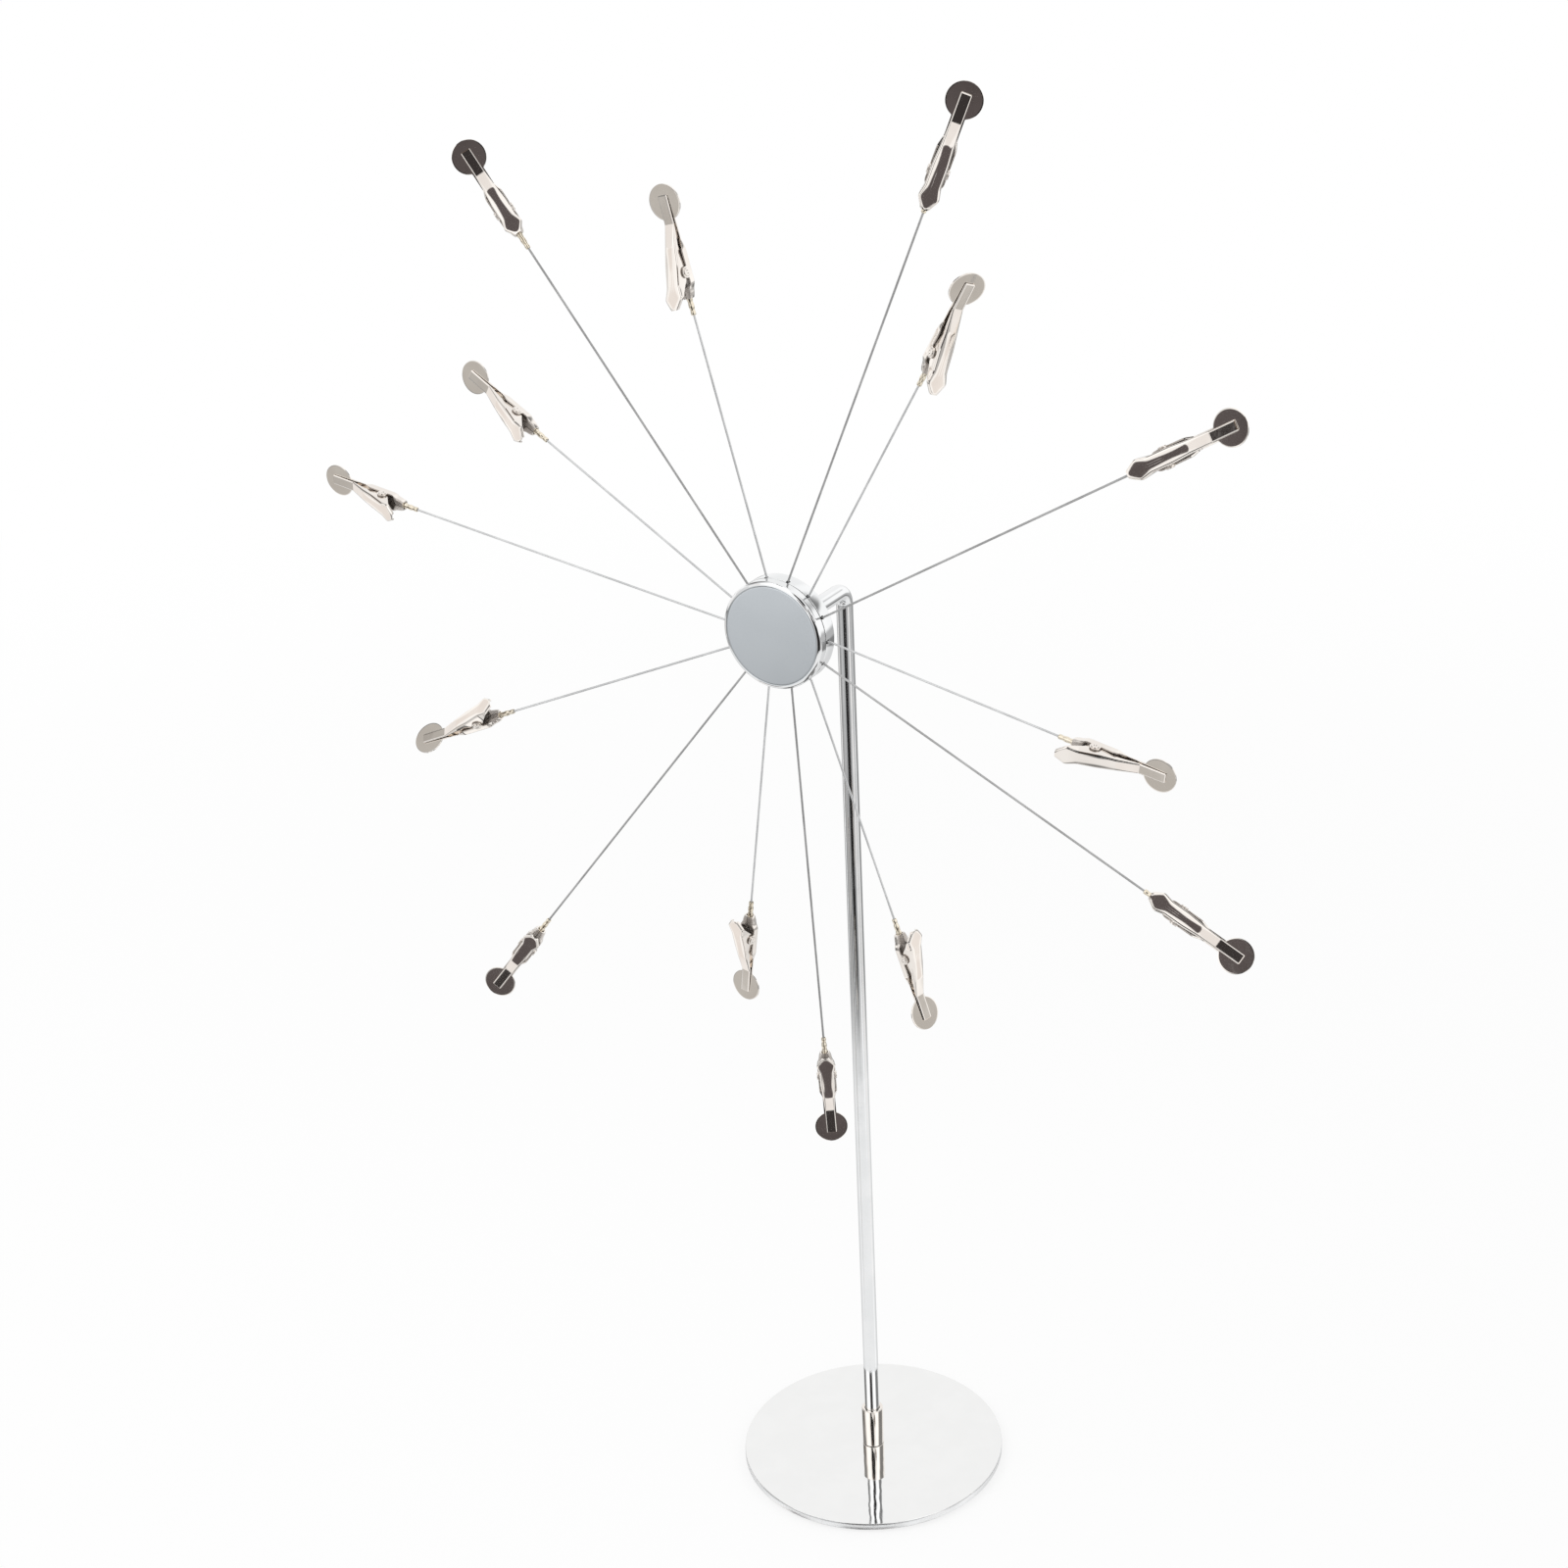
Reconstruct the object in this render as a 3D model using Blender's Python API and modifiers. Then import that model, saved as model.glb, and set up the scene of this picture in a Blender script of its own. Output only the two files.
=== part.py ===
"""Ferris wheel photo holder: a round base and a bent post carry a free-turning hub,
and fourteen wire spokes on the hub each end in a sprung clip with a round pad.

Metres, +Z up. The object stands on the ground plane, with its post on the Z axis and
the wheel's face toward -Y. Spokes are numbered clockwise from the top, seen from the front.
"""

import math

import bmesh
import bpy
from mathutils import Matrix, Vector

MM = 0.001

# Clearances
GAP = 0.3 * MM  # between two pieces that touch on the real object
WIRE_FIT = 0.15 * MM  # round a wire in its slot or its barrel

# Base
FOAM_THICKNESS = 1.0 * MM
FOAM_INSET = 3.0 * MM  # from the plate's edge
PLATE_RADIUS = 55.0 * MM
PLATE_THICKNESS = 3.0 * MM
PLATE_CHAMFER = 0.4 * MM
FERRULE_WALL = 1.1 * MM
FERRULE_HEIGHT = 18.0 * MM
FERRULE_CHAMFER = 0.35 * MM

# Post and arm, one bent rod
ROD_RADIUS = 3.1 * MM
AXLE_HEIGHT = 392.3 * MM  # wheel axis above the ground
FACE_REACH = 51.0 * MM  # from the post's axis to the hub's front face
ELBOW_INNER_RADIUS = 2.4 * MM

# Screws and bearing
SCREW_RADIUS = 2.0 * MM
SCREW_END_ROOM = 1.0 * MM  # empty depth beyond a screw's tip
BASE_SCREW_HEAD_RADIUS = 4.0 * MM
BASE_SCREW_GRIP = 10.0 * MM  # length inside the post
AXLE_SCREW_HEAD_RADIUS = 3.6 * MM
AXLE_SCREW_HEAD_HEIGHT = 1.8 * MM
AXLE_SCREW_GRIP = 8.0 * MM  # length inside the arm
WASHER_LAP = 0.5 * MM  # beyond the rear disc's bore
WASHER_THICKNESS = 0.6 * MM
BUSH_WALL = 1.7 * MM
BUSH_FLANGE_LIP = 1.5 * MM
BUSH_FLANGE_THICKNESS = 0.8 * MM

# Hub
HUB_RADIUS = 20.0 * MM
CAP_DEPTH = 4.0 * MM
CAP_BEVEL = 1.25 * MM
CAP_FACE_THICKNESS = 1.6 * MM
REAR_DEPTH = 5.7 * MM
REAR_CHAMFER = 0.5 * MM
SEAM_CHAMFER = 0.25 * MM
WEB_THICKNESS = 3.2 * MM  # of the rear disc round its bore
BOSS_ROOM = 1.0 * MM  # between the cap's face and the raised ring that centres it
BOSS_WALL = 2.2 * MM
WASHER_ROOM = 1.2 * MM  # round the washer, inside the raised ring

# Spokes
WIRE_RADIUS = 0.4 * MM
WIRE_BEHIND_SEAM = 0.9 * MM  # wire's centre behind the rear disc's front face
WIRE_FROM_BOSS = 2.3 * MM  # where a wire starts, outside the raised ring
WIRE_STUB = 0.8 * MM  # straight run outside the rim before the bend's corner
WIRE_BEND_RADIUS = 4.0 * MM
LONG_SPOKE = 177.0 * MM  # from the bend to the centre of the clip's disc
SHORT_SPOKE = 131.0 * MM
FIRST_SPOKE_ANGLE = 76.0  # degrees from +X toward +Z

# How each wire is set by hand, in degrees: turned in the wheel's plane, leaned back from
# it, and its clip's lever turned round the wire from facing the front
SPOKE_SETTINGS = [
    (-7.0, 5.0, 22.0),
    (10.0, -1.0, 52.0),
    (6.0, -2.5, -5.0),
    (-9.0, -3.0, 5.0),
    (2.0, -2.0, -35.0),
    (-18.0, 0.0, -71.0),
    (-7.5, -2.0, -33.0),
    (5.5, 1.0, 6.0),
    (3.0, -9.5, -11.0),
    (-3.5, -14.0, 45.0),
    (-7.5, 0.5, -6.0),
    (-2.0, 4.5, 1.0),
    (2.0, 3.0, 38.0),
    (2.5, -1.0, 1.0),
]

# Clips, along Y from the disc's centre toward the hub, with the lever on the +Z side.
# The jaw: disc, neck, flare to full width, body, tail and crimp barrel
SHEET = 0.5 * MM
DISC_RADIUS = 6.15 * MM
NECK_HALF_WIDTH = 2.35 * MM
NECK_LENGTH = 12.7 * MM  # from the disc's centre
FLARE_LENGTH = 3.2 * MM
BODY_LENGTH = 11.6 * MM
TAIL_LENGTH = 4.8 * MM
TAIL_HALF_WIDTH = 2.55 * MM
CHEEK_HEIGHT = 2.65 * MM
TAIL_HEIGHT = 3.05 * MM
PIVOT_IN_BODY = 7.4 * MM  # rivet's place, from the start of the body
PIVOT_HEIGHT = 3.5 * MM
EAR_RADIUS = 1.95 * MM  # of the jaw's and the lever's ears round the rivet
JAW_EAR_ARC = (-20, 200)  # degrees, over the rivet
RIVET_RADIUS = 0.9 * MM
RIVET_HEAD_RADIUS = 1.45 * MM
RIVET_HEAD_HEIGHT = 0.4 * MM
BARREL_IN_TAIL = 2.1 * MM
BARREL_LENGTH = 5.8 * MM  # beyond the tail
BARREL_ROOT_RADIUS = 1.15 * MM
BARREL_WALL = 0.3 * MM  # at its thin end
BARREL_BORE_DEPTH = 5.7 * MM

# The lever: strip on the disc, bent facet, body about the rivet and thumb pad
STRIP_OVERHANG = 2.4 * MM  # past the disc's centre
STRIP_HALF_WIDTH = 1.85 * MM
FACET_LENGTH = 7.1 * MM
FACET_SLOPE = 25.0  # degrees
LEVER_SLOPE = 20.0  # degrees
LEVER_NECK_HALF_WIDTH = 2.25 * MM
LEVER_NECK_LENGTH = 5.7 * MM
LEVER_HALF_WIDTH = 2.7 * MM
LEVER_PLAY = 0.4 * MM  # from the lever's flange to the jaw's cheek
EAR_BEFORE_PIVOT = 3.2 * MM  # where the lever reaches its width, before the rivet
THUMB_AFTER_PIVOT = 3.7 * MM
THUMB_FLARE = 3.5 * MM
THUMB_TAPER = 3.4 * MM
THUMB_HALF_WIDTH = 3.6 * MM
THUMB_END_HALF_WIDTH = 1.45 * MM
FLANGE_DEPTH = 1.35 * MM  # under the lever's face, at the facet and the thumb pad
LEVER_EAR_ARC = (215, 340)  # degrees, under the rivet

# Facets of the round pieces
PLATE_STEPS = 64
SMALL_STEPS = 24
CLIP_STEPS = 10
ARC_STEPS = 6
WIRE_BEND_STEPS = 3
ROD_RESOLUTION = 6
WIRE_RESOLUTION = 2
SHARP_ANGLE = math.radians(30)
WELD = 0.001 * MM
OVERRUN = 0.5 * MM  # of a cutter past what it cuts

# What follows from the sizes above
SPOKE_COUNT = len(SPOKE_SETTINGS)
HUB_STEPS = 4 * SPOKE_COUNT
PLATE_BOTTOM = FOAM_THICKNESS + GAP
PLATE_TOP = PLATE_BOTTOM + PLATE_THICKNESS
POST_BOTTOM = PLATE_TOP + GAP
ELBOW_RADIUS = ROD_RADIUS + ELBOW_INNER_RADIUS
SCREW_HOLE_RADIUS = SCREW_RADIUS + GAP
BUSH_RADIUS = SCREW_HOLE_RADIUS + BUSH_WALL
WASHER_RADIUS = BUSH_RADIUS + GAP + WASHER_LAP
BOSS_INNER_RADIUS = WASHER_RADIUS + WASHER_ROOM
BOSS_RADIUS = BOSS_INNER_RADIUS + BOSS_WALL
WIRE_INNER_RADIUS = BOSS_RADIUS + WIRE_FROM_BOSS
# Depths behind the hub's front face
REAR_FRONT = CAP_DEPTH + GAP
REAR_BACK = REAR_FRONT + REAR_DEPTH
WEB_FRONT = REAR_BACK - WEB_THICKNESS
WIRE_DEPTH = REAR_FRONT + WIRE_BEHIND_SEAM
BUSH_FLANGE_BACK = REAR_BACK + GAP + BUSH_FLANGE_THICKNESS
ARM_END_DEPTH = BUSH_FLANGE_BACK + GAP
# Places along a clip
BODY_START = NECK_LENGTH + FLARE_LENGTH
TAIL_START = BODY_START + BODY_LENGTH
JAW_END = TAIL_START + TAIL_LENGTH
JAW_HALF_WIDTH = LEVER_HALF_WIDTH + LEVER_PLAY + SHEET
PIVOT_ALONG = BODY_START + PIVOT_IN_BODY
EAR_START = PIVOT_ALONG - EAR_BEFORE_PIVOT
FACET_END = EAR_START - LEVER_NECK_LENGTH
STRIP_END = FACET_END - FACET_LENGTH
THUMB_START = PIVOT_ALONG + THUMB_AFTER_PIVOT
THUMB_WIDEST = THUMB_START + THUMB_FLARE
LEVER_END = THUMB_WIDEST + THUMB_TAPER
BARREL_HEIGHT = SHEET / 2 + BARREL_ROOT_RADIUS  # of its axis above the jaw's underside
BARREL_START = JAW_END - BARREL_IN_TAIL
BARREL_END = JAW_END + BARREL_LENGTH
WIRE_HOLE_RADIUS = WIRE_RADIUS + WIRE_FIT

# Turns a turned piece's +Z to the front
FRONT = Matrix.Rotation(math.radians(90), 4, "X")
# Carries an outline's X to the clip's Y and its Y to the clip's Z
SIDEWAYS = Matrix(((0, 0, 1, 0), (1, 0, 0, 0), (0, 1, 0, 0), (0, 0, 0, 1)))
# Carries an outline's X to the clip's Y and its Y to the clip's -X
FLAT = Matrix.Rotation(math.radians(90), 4, "Z")
# From a clip's origin to its rivet, whose own Z lies across the clip
RIVET_PLACE = Matrix.Translation((0, PIVOT_ALONG, PIVOT_HEIGHT)) @ Matrix.Rotation(math.pi / 2, 4, "Y")


def clear_scene():
    for obj in list(bpy.data.objects):
        bpy.data.objects.remove(obj, do_unlink=True)


def new_collection(name):
    collection = bpy.data.collections.new(name)
    bpy.context.scene.collection.children.link(collection)
    return collection


def new_material(name, colour, roughness, metallic):
    material = bpy.data.materials.new(name)
    material.use_nodes = True
    shader = material.node_tree.nodes["Principled BSDF"]
    shader.inputs["Base Color"].default_value = (*colour, 1)
    shader.inputs["Roughness"].default_value = roughness
    shader.inputs["Metallic"].default_value = metallic
    return material


def add_object(name, data, collection):
    obj = bpy.data.objects.new(name, data)
    collection.objects.link(obj)
    return obj


def place(obj, parent=None, matrix=None):
    """Parents the object and sets where it lies under its parent."""
    obj.parent = parent
    obj.matrix_local = matrix or Matrix()
    return obj


def add_empty(name, collection, parent=None, matrix=None):
    empty = add_object(name, None, collection)
    empty.empty_display_size = 10 * MM
    return place(empty, parent, matrix)


def solid_from(obj, name, helpers=()):
    """The object as it is evaluated, as a closed mesh object of its own; it and its helpers are removed."""
    bpy.context.view_layer.update()
    graph = bpy.context.evaluated_depsgraph_get()
    mesh = bpy.data.meshes.new_from_object(obj.evaluated_get(graph))
    mesh.transform(obj.matrix_world)
    shape = bmesh.new()
    shape.from_mesh(mesh)
    bmesh.ops.remove_doubles(shape, verts=shape.verts, dist=WELD)
    bmesh.ops.recalc_face_normals(shape, faces=shape.faces)
    shape.to_mesh(mesh)
    shape.free()
    mesh.shade_smooth()
    mesh.set_sharp_from_angle(angle=SHARP_ANGLE)
    mesh.name = name
    made = add_object(name, mesh, obj.users_collection[0])
    for used in (obj, *helpers):
        bpy.data.objects.remove(used, do_unlink=True)
    return made


def turned(name, profile, steps, collection, ring=False):
    """A turned solid from (radius, height) points down its outer side; a ring's profile closes on itself."""
    mesh = bpy.data.meshes.new(name + "_profile")
    points = [(radius, 0, height) for radius, height in profile]
    edges = [(i, i + 1) for i in range(len(points) - 1)]
    if ring:
        edges.append((len(points) - 1, 0))
    mesh.from_pydata(points, edges, [])
    obj = add_object(name + "_profile", mesh, collection)
    screw = obj.modifiers.new("turn", "SCREW")
    screw.steps = steps
    screw.render_steps = steps
    screw.use_merge_vertices = True
    screw.merge_threshold = WELD
    return solid_from(obj, name)


def outline_solid(name, points, half_thickness, matrix, collection):
    """A flat outline given thickness both ways along its own Z."""
    curve = bpy.data.curves.new(name + "_outline", "CURVE")
    curve.dimensions = "2D"
    curve.fill_mode = "BOTH"
    curve.extrude = half_thickness
    spline = curve.splines.new("POLY")
    spline.points.add(len(points) - 1)
    for point, (x, y) in zip(spline.points, points):
        point.co = (x, y, 0, 1)
    spline.use_cyclic_u = True
    drawn = add_object(name + "_outline", curve, collection)
    drawn.matrix_world = matrix
    return solid_from(drawn, name)


def tube(name, path, radius, resolution, collection):
    """A round rod or wire along the path, with closed ends."""
    curve = bpy.data.curves.new(name + "_path", "CURVE")
    curve.dimensions = "3D"
    curve.bevel_depth = radius
    curve.bevel_resolution = resolution
    curve.use_fill_caps = True
    spline = curve.splines.new("POLY")
    spline.points.add(len(path) - 1)
    for point, where in zip(spline.points, path):
        point.co = (*where, 1)
    return solid_from(add_object(name + "_path", curve, collection), name)


def cone(name, radius, end_radius, length, matrix, collection, steps):
    """A cone or cylinder from its base at the matrix's origin along the matrix's Z."""
    shape = bmesh.new()
    middle = matrix @ Matrix.Translation((0, 0, length / 2))
    bmesh.ops.create_cone(
        shape,
        cap_ends=True,
        segments=steps,
        radius1=radius,
        radius2=end_radius,
        depth=length,
        matrix=middle,
    )
    mesh = bpy.data.meshes.new(name)
    shape.to_mesh(mesh)
    shape.free()
    return add_object(name, mesh, collection)


def boxes(name, size, matrices, collection):
    """One mesh of equal boxes, each centred on its matrix."""
    shape = bmesh.new()
    for matrix in matrices:
        bmesh.ops.create_cube(shape, size=1, matrix=matrix @ Matrix.Diagonal((*size, 1)))
    mesh = bpy.data.meshes.new(name)
    shape.to_mesh(mesh)
    shape.free()
    return add_object(name, mesh, collection)


def combine(obj, other, operation):
    boolean = obj.modifiers.new(other.name, "BOOLEAN")
    boolean.operation = operation
    boolean.solver = "EXACT"
    boolean.object = other
    other.hide_render = True
    other.display_type = "WIRE"


def arc(centre, radius, start, end, steps):
    """Points on an arc, from one angle to another in degrees."""
    angles = [math.radians(start + (end - start) * i / steps) for i in range(steps + 1)]
    return [(centre[0] + radius * math.cos(a), centre[1] + radius * math.sin(a)) for a in angles]


def mirrored(half):
    """A closed outline from one half, whose points are (along, half width)."""
    return half + [(along, -width) for along, width in reversed(half) if width > 0]


def build_base(collection):
    foam = turned(
        "base_foam",
        [
            (0, FOAM_THICKNESS),
            (PLATE_RADIUS - FOAM_INSET, FOAM_THICKNESS),
            (PLATE_RADIUS - FOAM_INSET, 0),
            (0, 0),
        ],
        PLATE_STEPS,
        collection,
    )
    head_height = BASE_SCREW_HEAD_RADIUS - SCREW_RADIUS  # a right-angled countersink
    plate = turned(
        "base_plate",
        [
            (SCREW_HOLE_RADIUS, PLATE_TOP),
            (PLATE_RADIUS - PLATE_CHAMFER, PLATE_TOP),
            (PLATE_RADIUS, PLATE_TOP - PLATE_CHAMFER),
            (PLATE_RADIUS, PLATE_BOTTOM + PLATE_CHAMFER),
            (PLATE_RADIUS - PLATE_CHAMFER, PLATE_BOTTOM),
            (BASE_SCREW_HEAD_RADIUS + GAP, PLATE_BOTTOM),
            (SCREW_HOLE_RADIUS, PLATE_BOTTOM + head_height),
        ],
        PLATE_STEPS,
        collection,
        ring=True,
    )
    screw = turned(
        "base_screw",
        [
            (0, POST_BOTTOM + BASE_SCREW_GRIP),
            (SCREW_RADIUS, POST_BOTTOM + BASE_SCREW_GRIP),
            (SCREW_RADIUS, PLATE_BOTTOM + head_height),
            (BASE_SCREW_HEAD_RADIUS, PLATE_BOTTOM),
            (0, PLATE_BOTTOM),
        ],
        SMALL_STEPS,
        collection,
    )
    bore_radius = ROD_RADIUS + GAP
    ferrule_radius = bore_radius + FERRULE_WALL
    ferrule_top = POST_BOTTOM + FERRULE_HEIGHT
    ferrule = turned(
        "post_ferrule",
        [
            (bore_radius, ferrule_top),
            (ferrule_radius - FERRULE_CHAMFER, ferrule_top),
            (ferrule_radius, ferrule_top - FERRULE_CHAMFER),
            (ferrule_radius, POST_BOTTOM),
            (bore_radius, POST_BOTTOM),
        ],
        SMALL_STEPS,
        collection,
        ring=True,
    )
    foam.data.materials.append(new_material("base foam", (0.03, 0.03, 0.03), 0.9, 0))
    plate.data.materials.append(new_material("base chrome", (0.86, 0.87, 0.88), 0.06, 1))
    screw.data.materials.append(new_material("base screw zinc", (0.6, 0.6, 0.58), 0.35, 1))
    ferrule.data.materials.append(new_material("ferrule nickel", (0.66, 0.63, 0.58), 0.22, 1))


def screw_hole(name, grip, mouth, cutters):
    """A cutter for a blind hole that runs from the mouth along the mouth's Z."""
    depth = OVERRUN + grip + SCREW_END_ROOM
    start = mouth @ Matrix.Translation((0, 0, -OVERRUN))
    return cone(name, SCREW_HOLE_RADIUS, SCREW_HOLE_RADIUS, depth, start, cutters, SMALL_STEPS)


def build_post(collection, cutters):
    """The rod that stands on the plate and bends forward to carry the axle screw."""
    arm_end = FACE_REACH - ARM_END_DEPTH
    bend_centre = (ELBOW_RADIUS, AXLE_HEIGHT - ELBOW_RADIUS)
    bend = arc(bend_centre, ELBOW_RADIUS, 180, 90, ARC_STEPS)
    path = [(0, 0, POST_BOTTOM)]
    path += [(0, -forward, height) for forward, height in bend]
    path.append((0, -arm_end, AXLE_HEIGHT))
    post = tube("post_arm", path, ROD_RADIUS, ROD_RESOLUTION, collection)
    foot = Matrix.Translation((0, 0, POST_BOTTOM))
    arm_mouth = Matrix.Translation((0, -arm_end, AXLE_HEIGHT)) @ FRONT.inverted()
    combine(post, screw_hole("post_foot_hole", BASE_SCREW_GRIP, foot, cutters), "DIFFERENCE")
    combine(post, screw_hole("arm_end_hole", AXLE_SCREW_GRIP, arm_mouth, cutters), "DIFFERENCE")
    post.data.materials.append(new_material("post chrome", (0.82, 0.83, 0.84), 0.07, 1))


def build_axle(axis, collection):
    """The screw and washer that hold the hub on the arm."""
    washer_front = WEB_FRONT - GAP - WASHER_THICKNESS
    head_back = washer_front - GAP
    head_front = head_back - AXLE_SCREW_HEAD_HEIGHT
    tip = ARM_END_DEPTH + AXLE_SCREW_GRIP
    screw = turned(
        "axle_screw",
        [
            (0, -head_front),
            (AXLE_SCREW_HEAD_RADIUS, -head_front),
            (AXLE_SCREW_HEAD_RADIUS, -head_back),
            (SCREW_RADIUS, -head_back),
            (SCREW_RADIUS, -tip),
            (0, -tip),
        ],
        SMALL_STEPS,
        collection,
    )
    washer = turned(
        "axle_washer",
        [
            (SCREW_HOLE_RADIUS, -washer_front),
            (WASHER_RADIUS, -washer_front),
            (WASHER_RADIUS, -washer_front - WASHER_THICKNESS),
            (SCREW_HOLE_RADIUS, -washer_front - WASHER_THICKNESS),
        ],
        SMALL_STEPS,
        collection,
        ring=True,
    )
    screw.data.materials.append(new_material("axle screw steel", (0.55, 0.55, 0.55), 0.3, 1))
    washer.data.materials.append(new_material("axle washer steel", (0.62, 0.62, 0.6), 0.3, 1))
    for piece in (screw, washer):
        place(piece, axis, FRONT)


def slot_boxes(cutters):
    """The cutter for the slots that hold the wires, one box for each spoke."""
    start = WIRE_INNER_RADIUS - WIRE_FIT
    length = HUB_RADIUS + OVERRUN - start
    bottom = WIRE_DEPTH + WIRE_HOLE_RADIUS
    top = REAR_FRONT - OVERRUN
    middle = Matrix.Translation((start + length / 2, 0, -(bottom + top) / 2))
    turns = [Matrix.Rotation(math.radians(hole_angle(number)), 4, "Z") for number in range(SPOKE_COUNT)]
    size = (length, 2 * WIRE_HOLE_RADIUS, bottom - top)
    return boxes("spoke_slots", size, [turn @ middle for turn in turns], cutters)


def build_hub(axis, collection, cutters):
    """The cap, the rear disc with its spoke slots, and the bush."""
    pocket_radius = BOSS_RADIUS + GAP
    cap = turned(
        "hub_front_cap",
        [
            (0, 0),
            (HUB_RADIUS - CAP_BEVEL, 0),
            (HUB_RADIUS, -CAP_BEVEL),
            (HUB_RADIUS, -CAP_DEPTH),
            (pocket_radius, -CAP_DEPTH),
            (pocket_radius, -CAP_FACE_THICKNESS),
            (0, -CAP_FACE_THICKNESS),
        ],
        HUB_STEPS,
        collection,
    )
    boss_front = CAP_FACE_THICKNESS + BOSS_ROOM
    bore_radius = BUSH_RADIUS + GAP
    rear = turned(
        "hub_rear_disc",
        [
            (BOSS_INNER_RADIUS, -boss_front),
            (BOSS_RADIUS, -boss_front),
            (BOSS_RADIUS, -REAR_FRONT),
            (HUB_RADIUS - SEAM_CHAMFER, -REAR_FRONT),
            (HUB_RADIUS, -REAR_FRONT - SEAM_CHAMFER),
            (HUB_RADIUS, -REAR_BACK + REAR_CHAMFER),
            (HUB_RADIUS - REAR_CHAMFER, -REAR_BACK),
            (bore_radius, -REAR_BACK),
            (bore_radius, -WEB_FRONT),
            (BOSS_INNER_RADIUS, -WEB_FRONT),
        ],
        HUB_STEPS,
        collection,
        ring=True,
    )
    slots = slot_boxes(cutters)
    combine(rear, slots, "DIFFERENCE")
    flange_radius = BUSH_RADIUS + BUSH_FLANGE_LIP
    bush = turned(
        "hub_bush",
        [
            (SCREW_HOLE_RADIUS, -WEB_FRONT),
            (BUSH_RADIUS, -WEB_FRONT),
            (BUSH_RADIUS, -REAR_BACK - GAP),
            (flange_radius, -REAR_BACK - GAP),
            (flange_radius, -BUSH_FLANGE_BACK),
            (SCREW_HOLE_RADIUS, -BUSH_FLANGE_BACK),
        ],
        SMALL_STEPS,
        collection,
        ring=True,
    )
    cap.data.materials.append(new_material("hub cap satin", (0.66, 0.69, 0.72), 0.35, 1))
    rear.data.materials.append(new_material("hub rear chrome", (0.8, 0.81, 0.82), 0.1, 1))
    bush.data.materials.append(new_material("bush nylon", (0.85, 0.84, 0.8), 0.5, 0))
    for piece in (cap, rear, slots, bush):
        place(piece, axis, FRONT)


def hole_angle(number):
    """The angle of a spoke's slot in degrees, from +X toward +Z."""
    return FIRST_SPOKE_ANGLE - number * 360 / SPOKE_COUNT


def spoke_line(number):
    """Under the wheel's axis: the way out through the slot, the bend's corner and the way on from it."""
    turn, lean, _ = SPOKE_SETTINGS[number]
    hole = math.radians(hole_angle(number))
    way = math.radians(hole_angle(number) + turn)
    back = math.radians(lean)
    outward = Vector((math.cos(hole), 0, math.sin(hole)))
    onward = Vector((math.cos(way) * math.cos(back), math.sin(back), math.sin(way) * math.cos(back)))
    corner = outward * (HUB_RADIUS + WIRE_STUB) + Vector((0, WIRE_DEPTH, 0))
    return outward, corner, onward


def spoke_reach(number):
    """Long and short spokes take turns; the first is long."""
    return SHORT_SPOKE if number % 2 else LONG_SPOKE


def wire_path(number):
    outward, corner, onward = spoke_line(number)
    bend = outward.angle(onward)
    trim = WIRE_BEND_RADIUS * math.tan(bend / 2)
    before = corner - outward * trim
    after = corner + onward * trim
    path = [outward * WIRE_INNER_RADIUS + Vector((0, WIRE_DEPTH, 0))]
    for step in range(WIRE_BEND_STEPS + 1):
        share = step / WIRE_BEND_STEPS
        path.append(before.lerp(corner, share).lerp(corner.lerp(after, share), share))
    bore_bottom = BARREL_END - BARREL_BORE_DEPTH
    path.append(corner + onward * (spoke_reach(number) - bore_bottom - GAP))
    return path


def clip_frame(number):
    """The clip's place under the wheel's axis: its origin under the disc's centre, its Y toward the hub."""
    _, corner, onward = spoke_line(number)
    front = Vector((0, -1, 0))
    facing = (front - onward * front.dot(onward)).normalized()
    facing.rotate(Matrix.Rotation(math.radians(SPOKE_SETTINGS[number][2]), 3, onward))
    toward_hub = -onward
    across = toward_hub.cross(facing)
    centre = corner + onward * spoke_reach(number) - facing * BARREL_HEIGHT
    return Matrix.Translation(centre) @ Matrix((across, toward_hub, facing)).transposed().to_4x4()


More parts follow.
